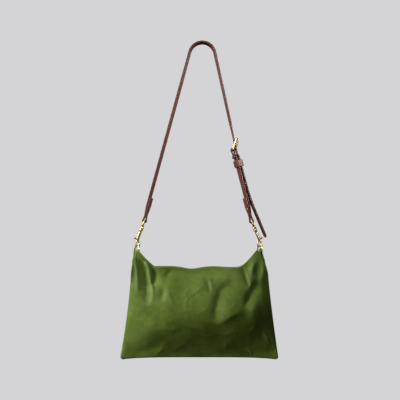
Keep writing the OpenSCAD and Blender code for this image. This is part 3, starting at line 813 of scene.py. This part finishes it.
class Leg:
    """A straight leaning leg of the strap: n is outward from its line and s down it."""

    def __init__(self, origin, angle, side):
        self.origin, self.angle, self.side = origin, angle, side
        self.out = np.array([side * math.cos(angle), math.sin(angle)])
        self.down = np.array([side * math.sin(angle), -math.cos(angle)])
        self.start = np.array([side * origin[0], origin[1]])

    def __call__(self, n, s):
        return tuple(self.start + n * self.out + s * self.down)

    def along(self, point):
        return float((np.asarray(point) - self.start) @ self.down)

    def roll(self, points, s, angle, pivot_n):
        """Points turned about the leg's own direction."""
        return rolled(points, np.array(self(pivot_n, s)), self.out, self.down, angle)


left_leg = Leg(LEFT_EYE, LEFT_ANGLE, -1)
right_leg = Leg(HEEL, RIGHT_ANGLE, 1)
double_leg = Leg(HEEL, SHORT_ANGLE, 1)


def left_roll(s):
    """Roll of the left leg at s, which is negative above the snap's eye."""
    return (LEFT_ROLL + (CROWN_ROLL - LEFT_ROLL) * ramp(-s, 250, 300)) * ramp(-s, 10, 30)


def right_roll(s):
    """Roll of the single right leg at s, which is negative above the heel bar."""
    return (RIGHT_ROLL + (CROWN_ROLL - RIGHT_ROLL) * ramp(-s, 140, 190)) * ramp(-s, 24, 62)


def short_roll(s):
    return DOUBLE_ROLL * ramp(s, 8, 17) * (1 - ramp(s, SHORT_LEN - 30, SHORT_LEN - 10))


def tail_roll(s):
    return DOUBLE_ROLL * ramp(s, 8, 17) + (END_ROLL - DOUBLE_ROLL) * ramp(s, 80, 120)


def resample(path, step):
    p = np.asarray(path, float)
    keep = [p[0]]
    for a, b in zip(p[:-1], p[1:]):
        count = max(1, int(math.ceil(np.linalg.norm(b - a) / step)))
        keep += [a + (b - a) * k / count for k in range(1, count + 1)]
    return np.array(keep)


def strip_section(width, thick, corner):
    """Cross-section of a strap with rounded edges, as (across the thickness, across the width),
    with how far each point is round an edge."""
    a, b = thick / 2 - corner, width / 2 - corner
    # Points across the two wide faces, so that they can be turned and creased smoothly.
    wide = np.linspace(b, -b, 9)[1:-1]
    section, edge = [], []
    for half, first in ((1, 0), (-1, 180)):
        for cx, start in ((half * a, first), (-half * a, first + 90)):
            for t in np.radians(start + np.linspace(0, 90, 5)):
                section.append((cx + corner * math.cos(t), half * b + corner * math.sin(t)))
                edge.append(abs(math.sin(t)) ** 1.5)
        section += [(-half * thick / 2, half * y) for y in wide]
        edge += [0.0] * len(wide)
    return np.array(section), np.array(edge)


def strap_band(name, path, roll=None, thick=STRAP_T, width=STRAP_W, corner=1.0, taper=None):
    """A strap along a path of (x, z), its rings of points turned by roll(point, ring)."""
    p = np.asarray(path, float)
    heading = unit(np.gradient(p, axis=0))
    section, edge = strip_section(width, thick, corner)
    rings, uvs, marks = [], [], []
    run = np.concatenate([[0], np.cumsum(np.linalg.norm(np.diff(p, axis=0), axis=1))])
    for i, (c, h) in enumerate(zip(p, heading)):
        normal = np.array([-h[1], h[0]])
        narrow = 1.0 if taper is None else taper(run[i], run[-1])
        n, y = section[:, 0], section[:, 1] * narrow
        ring = np.stack([c[0] + normal[0] * n, y, c[1] + normal[1] * n], -1)
        rings.append(ring if roll is None else roll(c, ring))
        uvs.append(np.stack([np.full(len(section), run[i] * MM), section[:, 1] * MM], -1))
        marks.append(edge)
    marks[0] = marks[-1] = np.ones(len(section))
    return tube(name, rings, np.array(uvs), {"edge": np.array(marks)})


def crown_roll(point, ring):
    """Rolls the crown about the line of the strap where it passes point."""
    t = math.atan2(point[1] - CROWN_C[1], point[0] - CROWN_C[0])
    out, down = np.array([math.cos(t), math.sin(t)]), np.array([math.sin(t), -math.cos(t)])
    return rolled(ring, np.array(point), out, down, CROWN_ROLL)


def long_path():
    left_fold = ([(-LAYER_N, -FOLD_LEN), (-LAYER_N, -FOLD_LEN / 2), (-LAYER_N, -CLOSE_S)]
                 + half_turn(WRAP_R, 0, 1) + [(LAYER_N, -CLOSE_S), (LAYER_N, -FOLD_LEN)])
    path = [left_leg(n, s) for n, s in left_fold]
    sweep = np.arange(math.pi - LEFT_ANGLE, RIGHT_ANGLE, -math.radians(5))
    path += [(CROWN_C[0] + CROWN_R * math.cos(t), CROWN_C[1] + CROWN_R * math.sin(t)) for t in sweep]
    path.append(right_leg(OUTER_N, -8))
    path += [double_leg(tail_n(s), s) for s in (4, 40, 70, 77, 84, 91, 98, 105, TAIL_LEN)]
    return resample(path, 3.0)


def long_roll(point, ring):
    x, z = point
    if z > CROWN_C[1] + CROWN_R * math.sin(math.pi - LEFT_ANGLE) and x < CROWN_C[0] or (
            z > CROWN_C[1] + CROWN_R * math.sin(RIGHT_ANGLE) and x >= CROWN_C[0]):
        return crown_roll(point, ring)
    if x < CROWN_C[0]:
        s = left_leg.along(point)
        return left_leg.roll(ring, s, left_roll(s), 0)
    s = right_leg.along(point)
    if s < -8:
        return right_leg.roll(ring, s, right_roll(s), OUTER_N)
    s = double_leg.along(point)
    return double_leg.roll(ring, s, tail_roll(s), ROLL_N)


def tail_taper(run, total):
    """The free end comes to a blunt rounded point."""
    left = total - run
    return 1.0 if left > 11 else 0.3 + 0.7 * math.sqrt(max(1 - (1 - left / 11) ** 2, 0))


def cut(piece, cutters, additions=()):
    """The piece with the additions merged in and the cutters' shapes taken out, as a plain mesh."""
    tools = [(tool, "UNION") for tool in additions] + [(tool, "DIFFERENCE") for tool in cutters]
    for tool, operation in tools:
        step = piece.modifiers.new("punch", "BOOLEAN")
        step.operation = operation
        step.solver = "EXACT"
        step.object = tool
    settled = bpy.context.evaluated_depsgraph_get()
    mesh = bpy.data.meshes.new_from_object(piece.evaluated_get(settled))
    piece.modifiers.clear()
    piece.data = mesh
    for tool, _ in tools:
        bpy.data.objects.remove(tool)
    return piece


def box_cutter(corners):
    """A cutter with eight corners, four round each end."""
    return outwards(keep_mesh("cutter", corners, [(0, 1, 2, 3), (7, 6, 5, 4), (0, 4, 5, 1),
                                                  (1, 5, 6, 2), (2, 6, 7, 3), (3, 7, 4, 0)]))


def punch(leg, n, s, reach, roll, pivot_n, tall=0.0):
    """A round or oval punch through the strap at (n, s) of a leg."""
    sides = np.linspace(0, 2 * math.pi, 24, endpoint=False)
    y = HOLE_D / 2 * np.cos(sides)
    down = HOLE_D / 2 * np.sin(sides) + np.sign(np.sin(sides)) * tall
    rings = []
    for k in (-reach, reach):
        flat = leg.start + (n + k) * leg.out + (s + down)[:, None] * leg.down
        ring = np.stack([flat[:, 0], y, flat[:, 1]], -1)
        rings.append(leg.roll(ring, s, roll, pivot_n))
    return tube("punch", rings)


def make_long_strap():
    strap = strap_band("long_bridle_strap", long_path(), long_roll, taper=tail_taper)
    cutters = [punch(double_leg, OUTER_N, IN_USE_S, 5, 0, ROLL_N, (SLOT_LEN - HOLE_D) / 2)]
    for k in range(1, 6):
        s = IN_USE_S + k * HOLE_PITCH
        cutters.append(punch(double_leg, tail_n(s), s, 2.6, tail_roll(s), ROLL_N))
    for k in range(1, 4):
        s = IN_USE_S - k * HOLE_PITCH
        cutters.append(punch(right_leg, OUTER_N, s, 3, right_roll(s), OUTER_N))
    return cut(strap, cutters)


def make_short_strap():
    path = ([(-LAYER_N, BUCKLE_FOLD), (-LAYER_N, CLOSE_S)] + half_turn(WRAP_R, 0, -1)
            + [(LAYER_N, CLOSE_S), (LAYER_N, SHORT_LEN / 2), (LAYER_N, SHORT_LEN - CLOSE_S)]
            + half_turn(WRAP_R, SHORT_LEN, 1)[::-1]
            + [(-LAYER_N, SHORT_LEN - CLOSE_S), (-LAYER_N, SHORT_LEN - FOLD_LEN)])
    points = resample([double_leg(n, s) for n, s in path], 3.0)

    def roll(point, ring):
        s = double_leg.along(point)
        return double_leg.roll(ring, s, short_roll(s), ROLL_N)

    strap = strap_band("short_bridle_strap", points, roll)
    half, corners = PRONG_SLOT_W / 2, []
    for n in (-9, 9):
        for s, y in ((-8, -half), (-8, half), (4, half), (4, -half)):
            x, z = double_leg(n, s)
            corners.append((x, y, z))
    return cut(strap, [box_cutter(corners)])


def hoop(name, rings, uv=None, marks=None):
    """A closed skin over rings of points that come back to the first ring."""
    rings = np.asarray(rings, float)
    rows, columns = rings.shape[:2]
    faces = grid_faces(rows, columns, closed=True)
    last = (rows - 1) * columns
    faces += [(last + i, last + (i + 1) % columns, (i + 1) % columns, i) for i in range(columns)]
    return outwards(keep_mesh(name, rings, faces, uv, marks))


def make_keeper():
    """The keeper: a leather loop round both layers, its corners rounded over."""
    low, high = LAYER_N - STRAP_T / 2, OUTER_N + STRAP_T / 2
    inner_n, inner_y = (high - low + 1) / 2, STRAP_W / 2 + 0.6
    middle, inset = (low + high) / 2, 0.8
    section, edge = strip_section(KEEPER_H, KEEPER_T, 0.7)
    rings, uvs, marks, run, before = [], [], [], 0.0, None
    for cn, cy, start in ((inner_n, inner_y, 0), (-inner_n, inner_y, 90), (-inner_n, -inner_y, 180),
                          (inner_n, -inner_y, 270)):
        for t in np.radians(start + np.linspace(0, 90, 6)):
            n = cn - inset * np.sign(cn) + (inset + KEEPER_T / 2) * math.cos(t)
            y = cy - inset * np.sign(cy) + (inset + KEEPER_T / 2) * math.sin(t)
            run += 0 if before is None else math.hypot(n - before[0], y - before[1])
            before = (n, y)
            a, b = section[:, 0], section[:, 1]
            local = np.stack([middle + n + math.cos(t) * a, y + math.sin(t) * a, -KEEPER_DROP + b], -1)
            ring = double_leg.roll(place(local, HEEL, SHORT_ANGLE), KEEPER_DROP, DOUBLE_ROLL, ROLL_N)
            rings.append(ring)
            uvs.append(np.stack([np.full(len(b), run * MM), b * MM * CREASE_Y / 5], -1))
            marks.append(edge)
    return hoop("leather_keeper", rings, np.array(uvs), {"edge": np.array(marks)})


wear(make_long_strap(), leather, "strap", "leather", "long_strap")
wear(make_short_strap(), leather, "strap", "leather", "short_strap")
wear(make_keeper(), leather, "keeper", "leather", "keeper_loop")

# ---- Metal: made upright in each part's own frame, then moved to its place ----


def rounded_loop(corners, radii, steps=6):
    """A closed outline through corners in a plane, each rounded to its radius."""
    c = np.asarray(corners, float)
    points = []
    for i, r in enumerate(radii):
        here, before, after = c[i], unit(c[i - 1] - c[i]), unit(c[(i + 1) % len(c)] - c[i])
        half = math.acos(np.clip(before @ after, -1, 1)) / 2
        reach = r / math.tan(half)
        centre = here + unit(before + after) * r / math.sin(half)
        a, b = here + before * reach - centre, here + after * reach - centre
        sweep = math.acos(np.clip(unit(a) @ unit(b), -1, 1))
        for k in range(steps + 1):
            w = k / steps
            arm = math.sin((1 - w) * sweep) * a + math.sin(w * sweep) * b
            points.append(centre + arm / math.sin(sweep))
    return np.array(points)


def closed_wire(name, loop, radii, normal, sides=20):
    """A wire bent into a flat closed loop whose plane has the given normal."""
    p = np.asarray(loop, float)
    r = np.broadcast_to(np.asarray(radii, float), len(p))
    heading = unit(np.roll(p, -1, 0) - np.roll(p, 1, 0))
    normal = unit(np.asarray(normal, float))
    out = np.cross(heading, normal)
    angle = np.linspace(0, 2 * math.pi, sides, endpoint=False)
    rings = [c + q * (np.outer(np.cos(angle), o) + np.outer(np.sin(angle), normal))
             for c, q, o in zip(p, r, out)]
    return hoop(name, rings)


def moved(piece, where):
    """Moves a piece's points, in millimetres, by the function where."""
    co = np.zeros(len(piece.data.vertices) * 3)
    piece.data.vertices.foreach_get("co", co)
    put = np.asarray(where(co.reshape(-1, 3) / MM)) * MM
    piece.data.vertices.foreach_set("co", put.ravel())
    piece.data.update()
    return outwards(piece)


def at_snap(side):
    eye, lean = (LEFT_EYE, LEFT_LEAN) if side < 0 else (RIGHT_EYE, RIGHT_LEAN)
    return lambda p: place(p, eye, lean, side)


def at_ring(x):
    c, s = math.cos(RING_TURN), math.sin(RING_TURN)
    return lambda p: np.stack([x + p[:, 0] * c - p[:, 1] * s, p[:, 0] * s + p[:, 1] * c,
                               RING_BAR + p[:, 2]], -1)


def make_swivel_eye(name, side):
    """A cast rectangular eye with a boss and a headed swivel stem under it."""
    low = -9.5
    loop = rounded_loop([(0, -ARM_Y, 0), (0, ARM_Y, 0), (0, ARM_Y, low), (0, -ARM_Y, low)],
                        (2, 2, 2.6, 2.6))
    wire = closed_wire("eye_wire", loop, 1.5, (1, 0, 0))
    stem = turned("eye_stem", [(-16.5, 1.9), (-16.3, 2.35), (-15.6, 2.4), (-15.35, 2.2), (-15.3, 1.5),
                               (-11.45, 1.5), (-11.3, 2.1), (-10.9, 2.6), (-9.9, 2.9), (-8.9, 2.6),
                               (-8.3, 1.9), (-8.0, 0.9)], (0, 0, 0), (0, 0, 1), 28)
    return moved(join(name, [wire, stem]), at_snap(side))


def bow_at(t):
    a = math.radians(t)
    return (-BOW_DX + BOW_R * math.cos(a), 0, -SNAP_LEN + BOW_R * math.sin(a))


def make_snap_hook(name, side):
    """A turned barrel with two grooves in its collar, bored for the bolt and slotted for the knob,
    and a tapered bow cast in one with it."""
    barrel = turned(name, [(-39.0, 1.9), (-38.8, 2.4), (-38.3, 2.7), (-37.4, 2.9), (-31, 2.9),
                           (-24, 2.7), (-20.6, 2.65), (-20.2, 2.75), (-19.8, 3.1), (-19.4, 3.4),
                           (-18.9, 3.5), (-16.4, 3.5), (-16.2, 3.4), (-16.05, 3.1), (-15.9, 3.1),
                           (-15.75, 3.4), (-15.55, 3.5), (-14.4, 3.5), (-14.2, 3.4), (-14.05, 3.1),
                           (-13.9, 3.1), (-13.75, 3.4), (-13.55, 3.5), (-12.4, 3.45), (-11.9, 3.15),
                           (-11.6, 2.5)], (0, 0, 0), (0, 0, 1), 40)
    turns = np.linspace(100, 328, 30)
    path = [(-1.1, 0, -36.6), (-2.3, 0, -39.2), (-3.3, 0, -40.9)] + [bow_at(t) for t in turns]
    radii = [1.5, 1.5, 1.45] + list(np.interp(turns, [100, 180, 270, 328], [1.4, 1.4, 1.35, 1.1]))
    bow = round_wire("bow", path, radii, 20)
    bore = turned("bore", [(-47.3, 1.56), (-17.2, 1.56), (-17.19, 2.7), (-15.0, 2.7), (-14.99, 1.56),
                           (-9, 1.56)], (0, 0, 0), (0, 0, 1), 28)
    low, high, half = -37.9, -29.3, 1.3
    slot = box_cutter([(x, y, z) for x in (0, 5)
                       for z, y in ((low, -half), (low, half), (high, half), (high, -half))])
    return moved(cut(barrel, [bore, slot], [bow]), at_snap(side))


def make_bolt(name, side):
    """The sliding bolt and its mushroom thumb knob."""
    rod = turned("bolt_rod", [(-46.4, 0.7), (-46.25, 1.2), (-45.9, 1.45), (-45.5, 1.5), (-27.9, 1.5),
                              (-27.5, 1.2)], (0, 0, 0), (0, 0, 1), 24)
    knob = turned("bolt_knob", [(0.4, 1), (3.3, 1), (3.45, 1.5), (3.75, 1.95), (4.5, 2.1), (5.6, 2.05),
                                (6.5, 1.7), (7.1, 1.1), (7.35, 0.45)], (0, 0, -36.6), (1, 0, 0), 24)
    return moved(join(name, [rod, knob]), at_snap(side))


def make_d_ring(name, x):
    """A bent and brazed ring with a straight bar at its foot."""
    corner = 2
    foot = [(0, -RING_HALF + corner - corner * math.cos(a), corner - corner * math.sin(a))
            for a in np.radians([0, 22, 45, 68, 90])]
    arch = [(0, RING_HALF * math.cos(a), RING_TALL - RING_HALF + RING_HALF * math.sin(a))
            for a in np.radians(np.linspace(0, 180, 25))]
    loop = foot + [(0, -y, z) for _, y, z in reversed(foot)] + arch
    return moved(closed_wire(name, loop, RING_WIRE, (1, 0, 0)), at_ring(x))


def make_rivet(name, leg, s, roll):
    """A tubular rivet with a domed cap on both faces."""
    half = [(3.95, 0.7), (3.9, 1.7), (3.72, 2.7), (3.45, 3.4), (3.25, 3.7), (3.16, 3.8),
            (3.1, 3.75), (3.1, 1.5)]
    profile = [(-h, r) for h, r in half] + [(h, r) for h, r in reversed(half)]
    cap = turned(name, profile, (0, 0, -s), (1, 0, 0), 32)
    moved(cap, lambda p: place(p, leg.origin, leg.angle, leg.side))
    return moved(cap, lambda p: leg.roll(p, s, roll, 0 if leg is left_leg else ROLL_N))


def make_buckle(name):
    """A cast heel-bar frame, its rim a little heavier than the bar, with rounded corners."""
    top = (13, 20.5)
    loop = rounded_loop([(0, -ARM_Y, 0), (0, ARM_Y, 0), (top[0], ARM_Y, top[1]), (top[0], -ARM_Y, top[1])],
                        (1.9, 1.9, 3.2, 3.2))
    height = loop[:, 2] / top[1]
    radii = np.interp(height, [0, 0.7, 1], [HEEL_BAR_R, HEEL_BAR_R, 1.65])
    return moved(closed_wire(name, loop, radii, (-top[1], 0, top[0])),
                 lambda p: place(p, HEEL, SHORT_ANGLE))


def make_prong(name):
    """A bent prong, forged round the heel bar and tapered to its tip."""
    eye = turned(name, [(-1.8, 2.4), (-1.62, 2.75), (-1.2, 2.9), (1.2, 2.9), (1.62, 2.75), (1.8, 2.4)],
                 (0, 0, 0), (0, 1, 0), 32)
    path = [(1.2, 0, 0.75), (5, 0, 2.95), (8.2, 0, 4.8), (9.35, 0, 5.85), (10.1, 0, 7.0), (11.9, 0, 10.8),
            (15.6, 0, 18.83), (16.75, 0, 21.35)]
    shaft = round_wire("prong_shaft", path, [1.3, 1.25, 1.2, 1.2, 1.2, 1.15, 1.1, 0.95], 16)
    bore = turned("bore", [(-4, 1.56), (4, 1.56)], (0, 0, 0), (0, 1, 0), 32)
    return moved(cut(eye, [bore], [shaft]), lambda p: place(p, HEEL, SHORT_ANGLE))


def make_disc(name, node, bevel):
    """A pressed disc facing front and back, in the box of its frame solid."""
    low, high = (np.array(c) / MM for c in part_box(node))
    centre, thick, r = (low + high) / 2, high[1] - low[1], (high[0] - low[0]) / 2
    return turned(name, [(-thick / 2, r - bevel), (-thick / 2 + bevel * 0.3, r - bevel * 0.3),
                         (-thick / 2 + bevel, r), (thick / 2 - bevel, r),
                         (thick / 2 - bevel * 0.3, r - bevel * 0.3), (thick / 2, r - bevel)],
                  centre, (0, 1, 0), 40)


for label, side in (("left", -1), ("right", 1)):
    wear(make_swivel_eye(f"cast_swivel_eye_{label}", side), brass, "strap", "brass", f"swivel_eye_{label}")
    wear(make_snap_hook(f"bolt_snap_{label}", side), brass, f"snap_{label}", "brass", f"snap_hook_{label}")
    wear(make_bolt(f"thumb_bolt_{label}", side), brass, f"bolt_{label}", "brass", f"snap_bolt_{label}")
    ring_x = -LEFT_RING_X if side < 0 else RIGHT_RING_X
    wear(make_d_ring(f"brazed_ring_{label}", ring_x), brass, f"ring_{label}", "brass", f"d_ring_{label}")
    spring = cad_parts[f"snap_spring_{label}"]
    spring.data.materials.clear()
    spring.data.materials.append(nickel)
wear(make_buckle("heel_bar_buckle"), brass, "strap", "brass", "buckle_frame")
wear(make_prong("forged_prong"), brass, "prong", "brass", "buckle_prong")
for label, leg, s, roll in (("left", left_leg, -FOLD_LEN / 2, left_roll),
                            ("buckle", double_leg, 12, short_roll),
                            ("right", double_leg, SHORT_LEN - FOLD_LEN / 2, short_roll)):
    wear(make_rivet(f"domed_rivet_{label}", leg, s, roll(s)), brass, "strap", "brass", f"rivet_{label}")
for label in ("front", "back"):
    wear(make_disc(f"pressed_magnet_{label}", f"magnet_{label}", 0.5), nickel, "bag", "steel",
         f"magnet_{label}")
    wear(make_disc(f"backing_washer_{label}", f"magnet_washer_{label}", 0.12), nickel, "bag", "steel",
         f"magnet_washer_{label}")

# ---- Tabs, tapes and stitches ----

TAB_W, TAB_T, TAB_LEN = 13, 1.2, 26
TAPE_VS, TAPE_T = np.linspace(0.05, 0.7, 40), 0.8


def make_tab(name, x):
    """A canvas tab doubled over the ring's bar."""
    wrap, n = RING_WIRE + 0.3 + TAB_T / 2, TAB_T / 2 + 0.05
    turn = [(-wrap * math.cos(a), wrap * math.sin(a)) for a in np.radians(np.arange(0, 181, 15))]
    path = resample([(-n, -TAB_LEN), (-n, -6)] + turn + [(n, -6), (n, -TAB_LEN)], 1.5)
    band = strap_band(name, path, thick=TAB_T, width=TAB_W, corner=0.45)
    return moved(band, at_ring(x))


def make_tape(name, us, vs):
    """Woven tape caught in a seam between the two panels."""
    u, v = np.meshgrid(us, vs)
    x, z = bag_x(u, v), bag_z(u, v, -1)
    sides = [np.stack([x, np.full_like(x, y), z], -1) for y in (-TAPE_T / 2, TAPE_T / 2)]
    return shell(name, *sides, cloth_uv(us, vs), {}, 0.25)


for label, x in (("left", -LEFT_RING_X), ("right", RIGHT_RING_X)):
    wear(make_tab(f"canvas_tab_{label}", x), canvas, "bag", "canvas", f"ring_tab_{label}")
wear(make_tape("side_tape_left", np.linspace(-1, -0.97, 4), TAPE_VS), tape, "bag", "tape", "seam_tape_left")
wear(make_tape("side_tape_right", np.linspace(0.97, 1, 4), TAPE_VS), tape, "bag", "tape", "seam_tape_right")
wear(make_tape("bottom_tape", np.linspace(-0.96, 0.96, 120), np.linspace(0, 0.04, 4)), tape, "bag", "tape",
     "seam_tape_bottom")


def stitch_tree(name, material):
    """Geometry nodes that sew a line: stitches at an even pitch, each a small plied lozenge."""
    tree = bpy.data.node_groups.new(name, "GeometryNodeTree")
    sockets = {}
    tree.interface.new_socket("Line", in_out="INPUT", socket_type="NodeSocketGeometry")
    for label, value in (("Pitch", 0.003), ("Stitch length", 0.0023), ("Thread", 0.0006)):
        made = tree.interface.new_socket(label, in_out="INPUT", socket_type="NodeSocketFloat")
        made.default_value = value
        sockets[label] = made.identifier
    tree.interface.new_socket("Sewn", in_out="OUTPUT", socket_type="NodeSocketGeometry")
    given = add(tree, "NodeGroupInput").outputs
    curve = add(tree, "GeometryNodeMeshToCurve", {"Mesh": given["Line"]})
    spaced = add(tree, "GeometryNodeResampleCurve", {"Curve": curve.outputs[0], "Length": given["Pitch"]},
                 mode="LENGTH")
    lozenge = add(tree, "GeometryNodeMeshUVSphere", {"Segments": 8, "Rings": 5, "Radius": 0.5})
    along = add(tree, "GeometryNodeInputTangent").outputs[0]
    turn = add(tree, "FunctionNodeAlignEulerToVector", {"Vector": along}, axis="X").outputs[0]
    size = add(tree, "ShaderNodeCombineXYZ", {"X": given["Stitch length"], "Y": given["Thread"],
                                              "Z": given["Thread"]}).outputs[0]
    spread = {"Min": (0.92, 0.9, 0.9), "Max": (1.06, 1.1, 1.1), "Seed": 7}
    uneven = add(tree, "FunctionNodeRandomValue", spread, data_type="FLOAT_VECTOR").outputs[0]
    scaled = add(tree, "ShaderNodeVectorMath", {0: size, 1: uneven}, operation="MULTIPLY").outputs[0]
    placed = add(tree, "GeometryNodeInstanceOnPoints", {
        "Points": spaced.outputs[0], "Instance": lozenge.outputs[0], "Rotation": turn, "Scale": scaled})
    real = add(tree, "GeometryNodeRealizeInstances", {"Geometry": placed.outputs[0]})
    dressed = add(tree, "GeometryNodeSetMaterial", {"Geometry": real.outputs[0], "Material": material})
    add(tree, "NodeGroupOutput", {"Sewn": dressed.outputs[0]})
    return tree, sockets


def seam_line(us, vs, side, out):
    """Points on a panel, or on a layer inside it, for a row of stitches."""
    us, vs = np.broadcast_arrays(np.asarray(us, float), np.asarray(vs, float))
    return surface(us, vs, side, out + relief(us, vs, side))


def sew(name, lines, material):
    """One piece holding the stitches of every line."""
    points, edges = [], []
    for line in lines:
        edges += [(len(points) + k, len(points) + k + 1) for k in range(len(line) - 1)]
        points += (line * MM).tolist()
    mesh = bpy.data.meshes.new(name)
    mesh.from_pydata(points, edges, [])
    piece = bpy.data.objects.new(name, mesh)
    bpy.context.scene.collection.objects.link(piece)
    tree, sockets = stitch_tree("lockstitch", material)
    step = piece.modifiers.new("lockstitch", "NODES")
    step.node_group = tree
    step[sockets["Pitch"]] = 0.0032
    step[sockets["Stitch length"]] = 0.0025
    step[sockets["Thread"]] = 0.0006
    settled = bpy.context.evaluated_depsgraph_get()
    piece.data = bpy.data.meshes.new_from_object(piece.evaluated_get(settled))
    piece.modifiers.clear()
    piece.data.polygons.foreach_set("use_smooth", np.ones(len(piece.data.polygons), bool))
    return piece


def mouth_line(side):
    """5 mm below the mouth's edge, from seam to seam."""
    us = np.linspace(-0.975, 0.975, 420)
    tall = bag_z(us, np.ones_like(us), side) - bag_z(us, np.zeros_like(us), side)
    return seam_line(us, 1 - 5 / tall, side, CANVAS_T + 0.1)


pocket_out = -(0.9 + 2 * LINING_T) - 0.1
pocket_rise, pocket_run = np.linspace(0.41, 0.77, 60), np.linspace(-0.44, 0.39, 90)
pocket_lines = [seam_line(-0.44, pocket_rise, 1, pocket_out), seam_line(0.39, pocket_rise, 1, pocket_out),
                seam_line(pocket_run, 0.41, 1, pocket_out)]
wear(sew("bag_stitches", [mouth_line(-1), mouth_line(1)] + pocket_lines, thread), thread, "bag", "tape")
